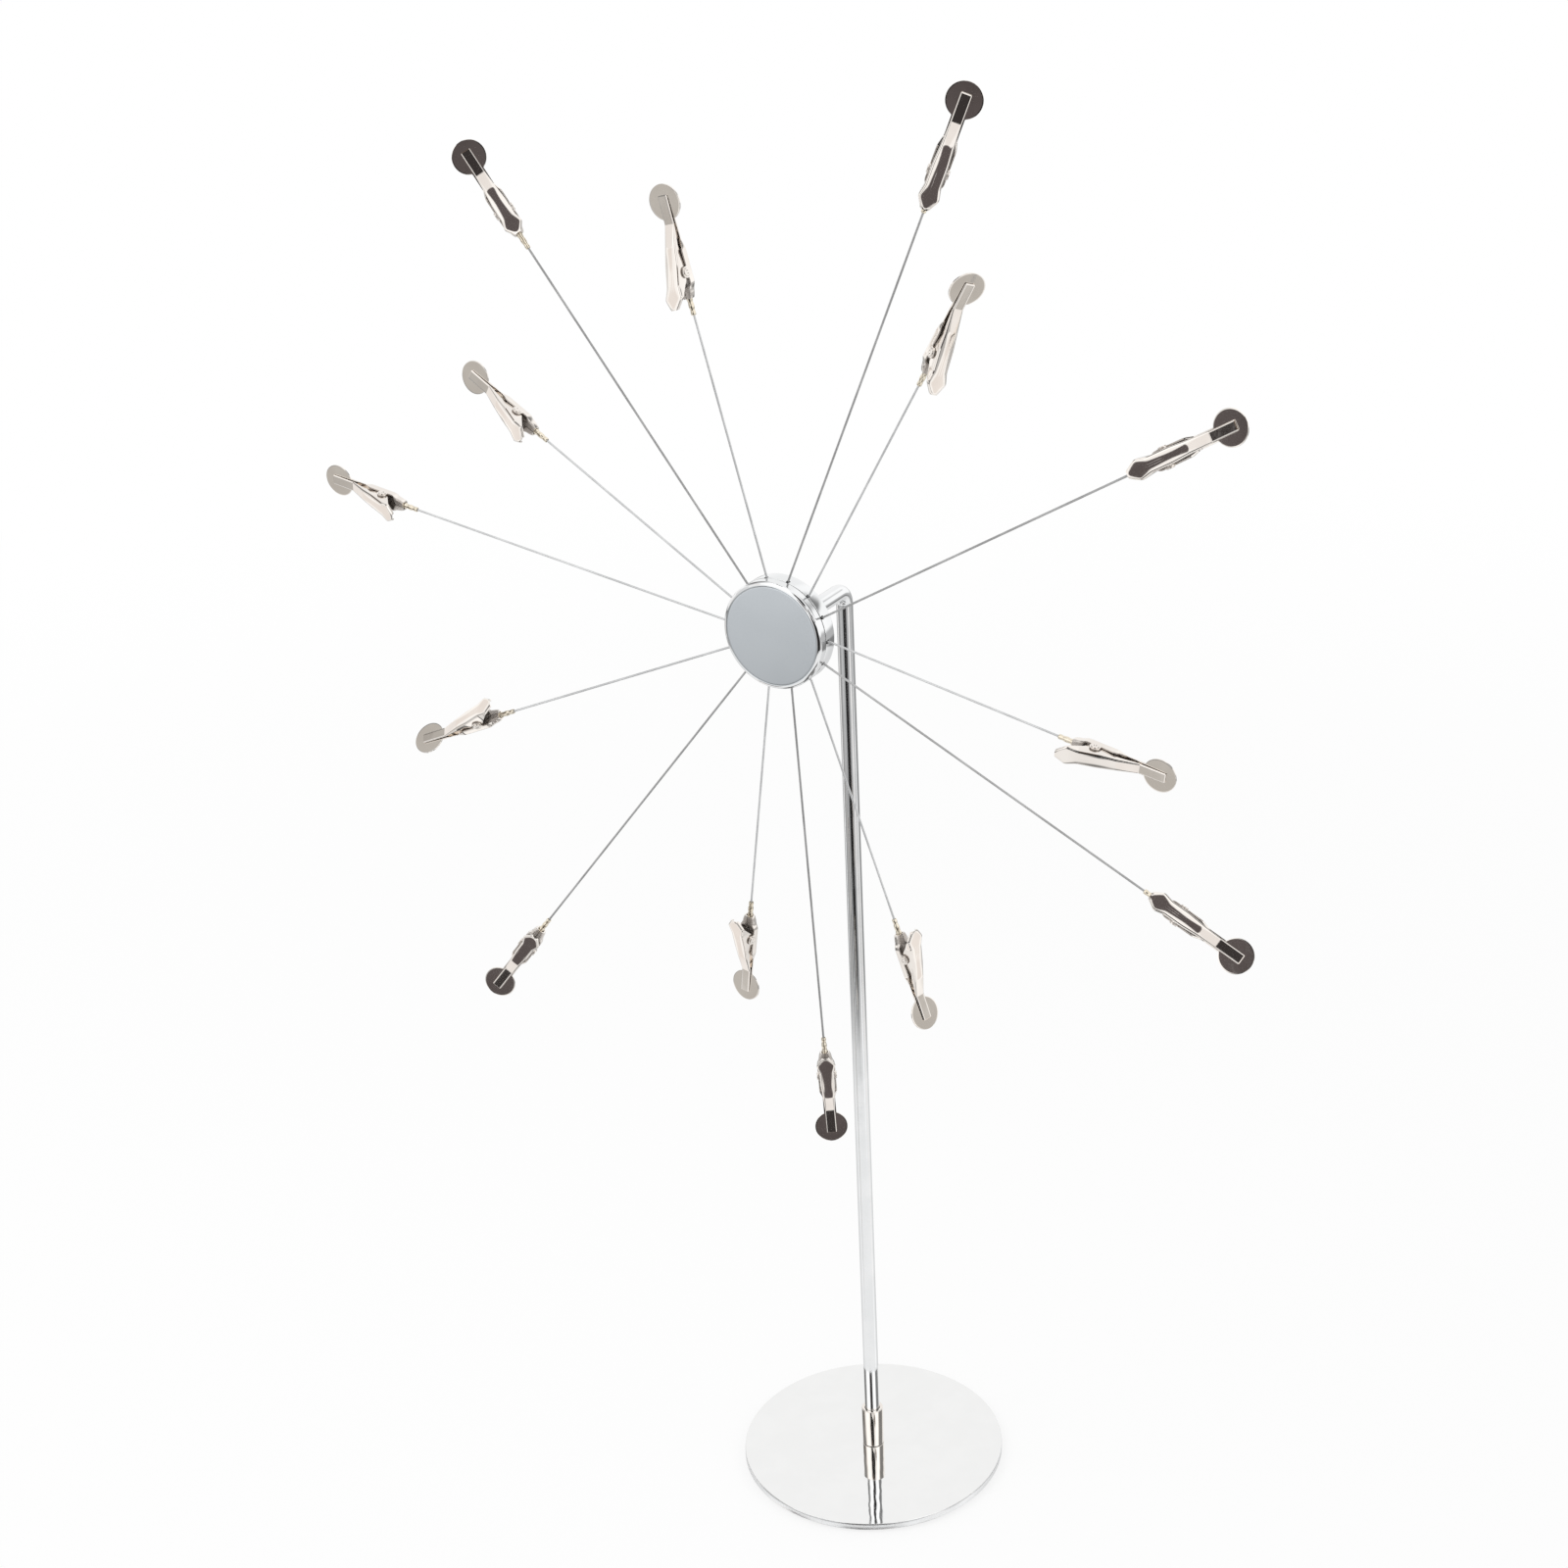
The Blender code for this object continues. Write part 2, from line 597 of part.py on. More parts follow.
def jaw_blank(cutters):
    """The jaw's folded sheet: its plan and its side view together, hollowed to a channel."""
    tallest = PIVOT_HEIGHT + EAR_RADIUS
    neck_angle = math.degrees(math.asin(NECK_HALF_WIDTH / DISC_RADIUS))
    half = arc((0, 0), DISC_RADIUS, 180, neck_angle, 2 * ARC_STEPS)
    half[0] = (-DISC_RADIUS, 0)
    half += [
        (NECK_LENGTH, NECK_HALF_WIDTH),
        (BODY_START, JAW_HALF_WIDTH),
        (TAIL_START, JAW_HALF_WIDTH),
        (JAW_END, TAIL_HALF_WIDTH),
        (JAW_END + OVERRUN, TAIL_HALF_WIDTH),
    ]
    beyond = -DISC_RADIUS - OVERRUN
    side = [(beyond, 0), (JAW_END, 0), (JAW_END, TAIL_HEIGHT), (TAIL_START, CHEEK_HEIGHT)]
    side += arc((PIVOT_ALONG, PIVOT_HEIGHT), EAR_RADIUS, *JAW_EAR_ARC, ARC_STEPS)
    side += [(BODY_START + SHEET, CHEEK_HEIGHT), (NECK_LENGTH, SHEET), (beyond, SHEET)]
    inside_half = [
        (NECK_LENGTH + SHEET, NECK_HALF_WIDTH - SHEET),
        (BODY_START, JAW_HALF_WIDTH - SHEET),
        (TAIL_START, JAW_HALF_WIDTH - SHEET),
        (JAW_END + 2 * OVERRUN, TAIL_HALF_WIDTH - SHEET),
    ]
    widest = DISC_RADIUS + JAW_HALF_WIDTH
    blank = outline_solid("jaw_plan", mirrored(half), tallest + OVERRUN, FLAT, cutters)
    profile = outline_solid("jaw_side", side, widest, SIDEWAYS, cutters)
    over_floor = Matrix.Translation((0, 0, tallest + SHEET)) @ FLAT
    inside = outline_solid("jaw_inside", mirrored(inside_half), tallest, over_floor, cutters)
    combine(blank, profile, "INTERSECT")
    combine(blank, inside, "DIFFERENCE")
    return blank, (profile, inside)


def jaw_mesh(cutters):
    """The wire's jaw: disc, neck, cheeks, rivet and crimp barrel in one piece."""
    blank, helpers = jaw_blank(cutters)
    rivet_end = JAW_HALF_WIDTH + RIVET_HEAD_HEIGHT
    under_head = JAW_HALF_WIDTH - SHEET / 2
    rivet = turned(
        "rivet",
        [
            (0, rivet_end),
            (RIVET_HEAD_RADIUS, rivet_end),
            (RIVET_HEAD_RADIUS, under_head),
            (RIVET_RADIUS, under_head),
            (RIVET_RADIUS, -under_head),
            (RIVET_HEAD_RADIUS, -under_head),
            (RIVET_HEAD_RADIUS, -rivet_end),
            (0, -rivet_end),
        ],
        CLIP_STEPS,
        cutters,
    )
    rivet.matrix_world = RIVET_PLACE
    along = Matrix.Translation((0, 0, BARREL_HEIGHT)) @ Matrix.Rotation(-math.pi / 2, 4, "X")
    barrel = cone(
        "barrel",
        BARREL_ROOT_RADIUS,
        WIRE_HOLE_RADIUS + BARREL_WALL,
        BARREL_END - BARREL_START,
        along @ Matrix.Translation((0, 0, BARREL_START)),
        cutters,
        CLIP_STEPS,
    )
    bore = cone(
        "barrel_bore",
        WIRE_HOLE_RADIUS,
        WIRE_HOLE_RADIUS,
        BARREL_BORE_DEPTH + OVERRUN,
        along @ Matrix.Translation((0, 0, BARREL_END - BARREL_BORE_DEPTH)),
        cutters,
        CLIP_STEPS,
    )
    combine(blank, rivet, "UNION")
    combine(blank, barrel, "UNION")
    combine(blank, bore, "DIFFERENCE")
    return mesh_of(solid_from(blank, "clip_jaw", (*helpers, rivet, barrel, bore)))


def lever_outlines():
    """The lever's plan, its side view, and the plan and side view of the hollow under its face."""
    steepness = math.tan(math.radians(LEVER_SLOPE))
    strip_top = 2 * SHEET + GAP
    facet_top = strip_top + FACET_LENGTH * math.tan(math.radians(FACET_SLOPE))
    thumb_top = facet_top + (THUMB_WIDEST - FACET_END) * steepness
    end_top = facet_top + (LEVER_END - FACET_END) * steepness
    half = [
        (-STRIP_OVERHANG, STRIP_HALF_WIDTH),
        (STRIP_END, STRIP_HALF_WIDTH),
        (FACET_END, LEVER_NECK_HALF_WIDTH),
        (EAR_START, LEVER_HALF_WIDTH),
        (THUMB_START, LEVER_HALF_WIDTH),
        (THUMB_WIDEST, THUMB_HALF_WIDTH),
        (LEVER_END, THUMB_END_HALF_WIDTH),
    ]
    before = -STRIP_OVERHANG - OVERRUN
    after = LEVER_END + OVERRUN
    after_top = end_top + OVERRUN * steepness
    side = [
        (before, strip_top - SHEET),
        (STRIP_END + SHEET, strip_top - SHEET),
        (FACET_END, facet_top - FLANGE_DEPTH - SHEET),
    ]
    side += arc((PIVOT_ALONG, PIVOT_HEIGHT), EAR_RADIUS, *LEVER_EAR_ARC, ARC_STEPS)
    side += [
        (THUMB_WIDEST, thumb_top - FLANGE_DEPTH),
        (after, after_top - FLANGE_DEPTH),
        (after, after_top),
        (FACET_END, facet_top),
        (STRIP_END, strip_top),
        (before, strip_top),
    ]
    inner = [(STRIP_END, STRIP_HALF_WIDTH - SHEET)]
    inner += [(along, width - SHEET) for along, width in half[2:]]
    inner.append((after + OVERRUN, THUMB_END_HALF_WIDTH - SHEET))
    face_drop = SHEET / math.cos(math.radians(LEVER_SLOPE))
    facet_drop = SHEET / math.cos(math.radians(FACET_SLOPE))
    far = after + 2 * OVERRUN
    under = [
        (STRIP_END - OVERRUN, -end_top),
        (far, -end_top),
        (far, end_top + (far - LEVER_END) * steepness - face_drop),
        (FACET_END, facet_top - face_drop),
        (STRIP_END, strip_top - facet_drop),
        (STRIP_END - OVERRUN, strip_top - facet_drop),
    ]
    return half, side, inner, under


def lever_mesh(cutters):
    """The lever: nose strip, bent facet and a channel whose flanges hang on the rivet, about the pivot."""
    half, side, inner, under = lever_outlines()
    tall = max(height for _, height in side) + OVERRUN
    wide = max(width for _, width in half) + OVERRUN
    blank = outline_solid("lever_plan", mirrored(half), tall, FLAT, cutters)
    profile = outline_solid("lever_side", side, wide, SIDEWAYS, cutters)
    inside = outline_solid("lever_inside", mirrored(inner), tall + OVERRUN, FLAT, cutters)
    underside = outline_solid("lever_under", under, wide, SIDEWAYS, cutters)
    hole_length = 2 * wide
    hole = cone(
        "lever_hole",
        RIVET_RADIUS + GAP,
        RIVET_RADIUS + GAP,
        hole_length,
        RIVET_PLACE @ Matrix.Translation((0, 0, -hole_length / 2)),
        cutters,
        CLIP_STEPS,
    )
    combine(inside, underside, "INTERSECT")
    combine(blank, profile, "INTERSECT")
    combine(blank, inside, "DIFFERENCE")
    combine(blank, hole, "DIFFERENCE")
    mesh = mesh_of(solid_from(blank, "clip_lever", (profile, inside, underside, hole)))
    mesh.transform(Matrix.Translation((0, -PIVOT_ALONG, -PIVOT_HEIGHT)))
    return mesh


def mesh_of(obj):
    """The object's mesh without the object, for pieces that share it."""
    mesh = obj.data
    bpy.data.objects.remove(obj, do_unlink=True)
    return mesh


def build_spokes(axis, collection, cutters):
    steel = new_material("spoke steel", (0.5, 0.5, 0.5), 0.3, 1)
    jaw = jaw_mesh(cutters)
    lever = lever_mesh(cutters)
    jaw.materials.append(new_material("clip jaw nickel", (0.62, 0.6, 0.57), 0.2, 1))
    lever.materials.append(new_material("clip lever nickel", (0.66, 0.64, 0.61), 0.18, 1))
    pivot = Matrix.Translation((0, PIVOT_ALONG, PIVOT_HEIGHT))
    for number in range(SPOKE_COUNT):
        label = f"{number + 1:02d}"
        wire = tube("spoke_wire_" + label, wire_path(number), WIRE_RADIUS, WIRE_RESOLUTION, collection)
        wire.data.materials.append(steel)
        place(wire, axis)
        frame = add_empty(f"clip_{label}_frame", collection, axis, clip_frame(number))
        place(add_object("clip_jaw_" + label, jaw, collection), frame)
        place(add_object("clip_lever_" + label, lever, collection), frame, pivot)


def build():
    clear_scene()
    collection = new_collection("ferris_wheel_photo_holder")
    cutters = new_collection("cutters")
    build_base(collection)
    build_post(collection, cutters)
    axis_place = Matrix.Translation((0, -FACE_REACH, AXLE_HEIGHT))
    axis = add_empty("wheel_axis", collection, matrix=axis_place)
    build_axle(axis, collection)
    build_hub(axis, collection, cutters)
    build_spokes(axis, collection, cutters)


build()
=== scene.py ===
"""Dresses the ferris wheel photo holder for its picture.

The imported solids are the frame: a stand, a wheel that turns on it and fourteen clip levers
on the wheel. Each visible piece is made again from the same sizes, with its folds, rounded
edges and finish, and rides on its body. Metres, +Z up, the wheel's face toward -Y.
"""

from math import asin, atan, cos, degrees, hypot, pi, radians, sin, sqrt, tan

import bmesh
import bpy
from mathutils import Matrix, Vector


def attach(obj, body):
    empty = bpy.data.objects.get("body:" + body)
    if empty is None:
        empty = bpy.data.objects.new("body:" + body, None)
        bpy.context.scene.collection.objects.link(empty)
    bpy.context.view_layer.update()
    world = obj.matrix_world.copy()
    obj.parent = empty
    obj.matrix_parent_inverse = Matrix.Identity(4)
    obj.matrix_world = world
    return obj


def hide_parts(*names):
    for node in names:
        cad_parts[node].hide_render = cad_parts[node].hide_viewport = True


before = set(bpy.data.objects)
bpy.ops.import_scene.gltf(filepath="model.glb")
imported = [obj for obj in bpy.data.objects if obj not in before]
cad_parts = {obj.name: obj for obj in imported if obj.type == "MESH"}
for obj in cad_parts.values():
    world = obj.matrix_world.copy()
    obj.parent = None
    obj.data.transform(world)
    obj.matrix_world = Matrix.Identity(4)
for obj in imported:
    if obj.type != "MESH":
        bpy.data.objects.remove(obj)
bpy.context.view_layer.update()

MM = 0.001

# Base, post and ferrule
PLATE_RADIUS = 55 * MM
PLATE_BOTTOM = 1.3 * MM
PLATE_TOP = 4.3 * MM
PLATE_EDGE = 0.2 * MM
PLATE_TAPER = 0.07 * MM  # of its rim toward the top
PLATE_TAPER_DEPTH = 0.5 * MM  # how far below the top's edge the taper starts
PLATE_BREAK_WIDTH = 0.12 * MM  # of its lower edge
PLATE_BREAK_HEIGHT = 0.35 * MM
COUNTERSINK_RADIUS = 4.3 * MM
SCREW_HOLE_RADIUS = 2.3 * MM
COUNTERSINK_DEPTH = 2 * MM
ROD_RADIUS = 3.1 * MM
POST_BOTTOM = 4.6 * MM
FOOT_BORE_DEPTH = 11 * MM
FERRULE_BORE = 3.2 * MM
FERRULE_RADIUS = 4.5 * MM
FERRULE_TOP = 22.6 * MM
FERRULE_EDGE = 0.35 * MM
FERRULE_MOUTH = 0.15 * MM  # how far its mouth is broken
FERRULE_LIFT = 0.09 * MM  # of the ferrule over the plate
ELBOW_RADIUS = 5.5 * MM
AXLE_HEIGHT = 392.3 * MM
FACE_REACH = 51 * MM  # from the post's axis to the hub's front face
ARM_END = FACE_REACH - 11.4 * MM
ARM_BORE_DEPTH = 9 * MM

# Hub, as radii and depths behind its front face
HUB_RADIUS = 20 * MM
CAP_FLAT_RADIUS = 17.9 * MM  # where its face begins to round off
CAP_FACE_RADIUS = 18.6 * MM  # where the satin ends and the polished rim begins
# The rounding of its face into its side: each radius and the slope there
CAP_ROUNDING = [(CAP_FACE_RADIUS, 10), (18.95 * MM, 21), (19.7 * MM, 41), (HUB_RADIUS, 86)]
CAP_SIDE = 1.6 * MM  # its side is straight from here back
CAP_BACK = 4 * MM
CAP_POCKET_RADIUS = 8.5 * MM
CAP_POCKET_DEPTH = 1.6 * MM
REAR_FRONT = 4.3 * MM
REAR_BACK = 10 * MM
BOSS_FRONT = 2.6 * MM
BOSS_INNER = 6 * MM
BOSS_OUTER = 8.2 * MM
WEB_FRONT = 6.8 * MM
BUSH_BORE = 4.3 * MM
SEAM_EDGE = 0.25 * MM
REAR_EDGE = 0.5 * MM

# Spokes
WIRE_RADIUS = 0.4 * MM
WIRE_DEPTH = 5.2 * MM
WIRE_START = 10.5 * MM
WIRE_STUB = 0.8 * MM
WIRE_BEND_RADIUS = 4 * MM
WIRE_GAP = 0.3 * MM  # from its end to the bottom of the barrel's bore
SLOT_HALF_WIDTH = 0.55 * MM
SLOT_FRONT = REAR_FRONT - 0.5 * MM
SLOT_START = WIRE_START - 0.15 * MM
SLOT_END = HUB_RADIUS + 0.5 * MM
HOLE_RADIUS = 0.72 * MM  # the hole in the rim, wider than the slot behind it
HOLE_DEPTH = 1.2 * MM
LONG_SPOKE = 177 * MM
SHORT_SPOKE = 131 * MM
FIRST_SPOKE_ANGLE = 76

# How each wire is set, in degrees: turned in the wheel's plane, leaned back from
# it, and its clip's lever turned round the wire from facing the front
SPOKE_SETTINGS = [
    (-7, 5, 22), (10, -1, 52), (6, -2.5, -5), (-9, -3, 5), (2, -2, -35),
    (-18, 0, -71), (-7.5, -2, -33), (5.5, 1, 6), (3, -9.5, -11), (-3.5, -14, 45),
    (-7.5, 0.5, -6), (-2, 4.5, 1), (2, 3, 38), (2.5, -1, 1),
]
SPOKE_COUNT = len(SPOKE_SETTINGS)
CLIP_TRIMS = {2: -1.5, 13: -1.5}  # the last small turn of two clips on their wires
# The clips that mirror dark panels of the tent; their wires get the darker copy of the spoke steel, painted
# shade
DARK_CLIPS = (1, 3, 5, 7, 9, 13)

# Clips, along Y from the disc's centre toward the hub, with the lever on the +Z side
SHEET = 0.5 * MM
RIM_BREAK = 0.06 * MM
TAIL_CURL = 0.95 * MM
DISC_RADIUS = 6.15 * MM
NECK_HALF_WIDTH = 2.35 * MM
NECK_END = 12.7 * MM
BODY_START = 15.9 * MM
BODY_HALF_WIDTH = 3.35 * MM
TAIL_START = 27.5 * MM
TAIL_HALF_WIDTH = 2.55 * MM
TAIL_END_HALF_WIDTH = 1.75 * MM
JAW_END = 32.3 * MM
CHEEK_HEIGHT = 2.65 * MM
TAIL_HEIGHT = 3.05 * MM
PIVOT_ALONG = 23.3 * MM
PIVOT_HEIGHT = 3.5 * MM
EAR_RADIUS = 1.95 * MM
RIVET_RADIUS = 0.9 * MM
RIVET_HEAD_RADIUS = 1.45 * MM
RIVET_HEAD_HEIGHT = 0.4 * MM
# The dimple in each rivet head: each radius and how deep it lies there
RIVET_DIMPLE = [(0, 0.3 * MM), (0.3 * MM, 0.28 * MM), (0.5 * MM, 0.1 * MM), (0.68 * MM, 0)]
BARREL_HEIGHT = 1.4 * MM
BARREL_START = 30.2 * MM
BARREL_END = 38.1 * MM
BARREL_ROOT_RADIUS = 1.15 * MM
BARREL_BORE = 0.55 * MM
BARREL_BORE_DEPTH = 5.7 * MM
# The crimps, in millimetres: places past the jaw's end, and the radius there
CRIMPS = [(0.5, 1.08), (1.1, 0.9), (1.7, 0.9), (2.3, 1.02), (3.3, 0.97), (3.8, 0.8), (4.3, 0.8), (4.8, 0.9)]
STRIP_TIP = -2.4 * MM
STRIP_HALF_WIDTH = 1.85 * MM
STRIP_TOP = 1.3 * MM
STRIP_RISE = 0.12 * MM  # the strip's tip dips and its root rises by this
STRIP_END = 7.3 * MM
STRIP_BEND = 0.1 * MM  # half the length of the bend from the strip to the facet
FACET_END = 14.4 * MM
FACET_TOP = 4.61 * MM
LEVER_SLOPE = 20
LEVER_RISE = tan(radians(LEVER_SLOPE))
LEVER_NECK_HALF_WIDTH = 2.25 * MM
EAR_START = 20.1 * MM
LEVER_HALF_WIDTH = 2.7 * MM
THUMB_START = 27 * MM
THUMB_WIDEST = 30.5 * MM
THUMB_HALF_WIDTH = 3.6 * MM
LEVER_END = 33.9 * MM
THUMB_END_HALF_WIDTH = 1.45 * MM
FLANGE_DEPTH = 1.35 * MM
SPRING_WIRE = 0.22 * MM
SPRING_RADIUS = 1.4 * MM
SPRING_TURNS = 4
SPRING_HALF_WIDTH = 1.25 * MM
SPRING_FOOT = 28.5 * MM
SPRING_TIP = 29.5 * MM

# How finely the shapes are cut
ROUND_STEPS = 256
RING_STEPS = 96
ROD_STEPS = 48
SMALL_STEPS = 24
WIRE_STEPS = 12
BEND_STEPS = 8
FALL_STEPS = 6
FACE_STEPS = 6
WELD = 0.0005 * MM
HAIR = 0.01 * MM
SHARP_ANGLE = radians(32)


def moved(x, y, z):
    return Matrix.Translation((x, y, z))


def spun(angle, axis):
    return Matrix.Rotation(radians(angle), 4, axis)


AXIS = moved(0, -FACE_REACH, AXLE_HEIGHT)
FRONT = spun(90, "X")  # turns a turned piece's +Z to the front


# Shaders


class Socket:
    """An output of a shader's node. Arithmetic on it adds Math nodes."""

    def __init__(self, nodes, socket):
        self.nodes = nodes
        self.socket = socket

    def math(self, operation, *others):
        inputs = dict(enumerate((self, *others)))
        return self.nodes.add("ShaderNodeMath", {"operation": operation}, inputs)

    def __add__(self, other):
        return self.math("ADD", other)

    __radd__ = __add__

    def __sub__(self, other):
        return self.math("SUBTRACT", other)

    def __rsub__(self, other):
        return self.nodes.add("ShaderNodeMath", {"operation": "SUBTRACT"}, {0: other, 1: self})

    def __mul__(self, other):
        return self.math("MULTIPLY", other)

    __rmul__ = __mul__

    def ramp(self, low, high):
        """0 at low and 1 at high, with a smooth step between."""
        settings = {"interpolation_type": "SMOOTHSTEP"}
        inputs = {"Value": self, "From Min": low, "From Max": high}
        return self.nodes.add("ShaderNodeMapRange", settings, inputs)


class Nodes:
    """The nodes of one material or of the world."""

    def __init__(self, owner):
        self.owner = owner
        owner.use_nodes = True
        self.tree = owner.node_tree
        self.tree.nodes.clear()

    def add(self, kind, settings=None, inputs=None, output=0):
        """A node of this type: its settings, then its sockets' values or links. Gives an output."""
        node = self.tree.nodes.new(kind)
        for name, value in (settings or {}).items():
            setattr(node, name, value)
        for name, value in (inputs or {}).items():
            if isinstance(value, Socket):
                self.tree.links.new(value.socket, node.inputs[name])
            else:
                node.inputs[name].default_value = value
        return Socket(self, node.outputs[output]) if node.outputs else None

    def place(self, kind="Object"):
        return self.add("ShaderNodeTexCoord", output=kind)

    def vector(self, operation, *values, output=0):
        return self.add("ShaderNodeVectorMath", {"operation": operation}, dict(enumerate(values)), output)

    def noise(self, place, scale, detail=2.0, rough=0.5):
        inputs = {"Vector": place, "Scale": scale, "Detail": detail, "Roughness": rough}
        return self.add("ShaderNodeTexNoise", None, inputs)

    def mix(self, factor, one, other):
        """One colour at factor 0 and the other at 1."""
        inputs = {0: factor, 6: one, 7: other}
        return self.add("ShaderNodeMix", {"data_type": "RGBA"}, inputs, 2)

    def dot(self, place, direction):
        return self.vector("DOT_PRODUCT", place, direction, output="Value")

    def bump(self, height, strength, depth):
        inputs = {"Strength": strength, "Distance": depth, "Height": height}
        return self.add("ShaderNodeBump", None, inputs)

    def blend(self, factor, one, other):
        return self.add("ShaderNodeMixShader", None, {0: factor, 1: one, 2: other})

    def finish(self, shader, kind="ShaderNodeOutputMaterial"):
        self.add(kind, None, {"Surface": shader})

    def coat(self, colour, metal, roughness, normal):
        """The object's shader, as the surface of the material that it gives back."""
        inputs = {"Base Color": colour, "Metallic": metal, "Roughness": roughness, "Normal": normal}
        self.finish(self.add("ShaderNodeBsdfPrincipled", None, inputs))
        return self.owner


def rgb(red, green, blue):
    return (red, green, blue, 1)


def new_material(name):
    return Nodes(bpy.data.materials.new(name))


CLOUD_SCALE = 90
SMEAR_SCALE = 260
SMEAR_STRETCH = (1, 1, 0.35)


def plated(name, bright, dull, roughness, haze, marks, depth, wave=None, metal=1.0):
    """Plated metal: its colour wanders between two tones, a haze of handling varies its gloss,
    and a slow wave may bend what it mirrors. Its marks are a fine grain of one scale, or streaks
    from drawing or turning, given as three scales of its own map."""
    nodes = new_material(name)
    place = nodes.place()
    cloud = nodes.noise(place, CLOUD_SCALE, 3)
    smear = nodes.noise(nodes.vector("MULTIPLY", place, SMEAR_STRETCH), SMEAR_SCALE, 4, 0.6)
    haze_here = smear.ramp(0.48, 0.78)
    if isinstance(marks, tuple):
        grain = nodes.noise(nodes.vector("MULTIPLY", nodes.place("UV"), marks), 1, 3, 0.6)
    else:
        grain = nodes.noise(place, marks, 2, 0.6)
    height = grain * depth
    if wave:
        size, swell = wave
        height = height + nodes.noise(place, size, 1) * swell
    tone = nodes.mix(cloud.ramp(0.35, 0.7), rgb(*dull), rgb(*bright))
    rough = roughness + haze * haze_here + 0.02 * grain
    return nodes.coat(tone, metal, rough, nodes.bump(height, 1.0, MM))


FACE_GRAY = rgb(0.67, 0.71, 0.745)
FACE_PALE = rgb(0.7, 0.74, 0.775)


def satin_face():
    """The hub's face: fine blasted satin under clear gloss, cool gray, with a slow cloud in its tone."""
    nodes = new_material("hub_face_satin")
    place = nodes.place()
    cloud = nodes.noise(place, 45, 2)
    grain = nodes.noise(place, 5000, 2, 0.7)
    tone = nodes.mix(cloud.ramp(0.3, 0.7), FACE_GRAY, FACE_PALE)
    rough = 0.1 + 0.02 * cloud + 0.02 * grain
    return nodes.coat(tone, 1.0, rough, nodes.bump(grain, 0.35, 0.0003 * MM))


def moulded(name, colour, other_colour, roughness, pore, depth):
    """A moulded or foamed material with pores of this scale."""
    nodes = new_material(name)
    place = nodes.place()
    pores = nodes.noise(place, pore, 3, 0.65)
    cloud = nodes.noise(place, pore * 0.05, 2)
    tone = nodes.mix(cloud.ramp(0.3, 0.7), rgb(*colour), rgb(*other_colour))
    return nodes.coat(tone, 0.0, roughness + 0.1 * pores, nodes.bump(pores, 0.8, depth))


PLATE_CHROME = (0.89, 0.89, 0.885)
PLATE_CHROME_DULL = (0.875, 0.875, 0.87)
# Painted light: the rim's wall gets a paler copy of the chrome
RIM_CHROME_PAINTED_LIGHT = (0.93, 0.94, 0.95)
CHROME = (0.88, 0.885, 0.89)
CHROME_DULL = (0.83, 0.84, 0.845)
# One spoke steel in two copies: darker for the dark clips' wires, painted shade, and paler for the rest,
# painted light
WIRE = (0.49, 0.49, 0.49)
WIRE_DULL = (0.38, 0.38, 0.38)
PALE_WIRE = (0.69, 0.695, 0.7)
PALE_WIRE_DULL = (0.55, 0.555, 0.56)
NICKEL = (0.91, 0.865, 0.815)
NICKEL_DULL = (0.85, 0.80, 0.75)

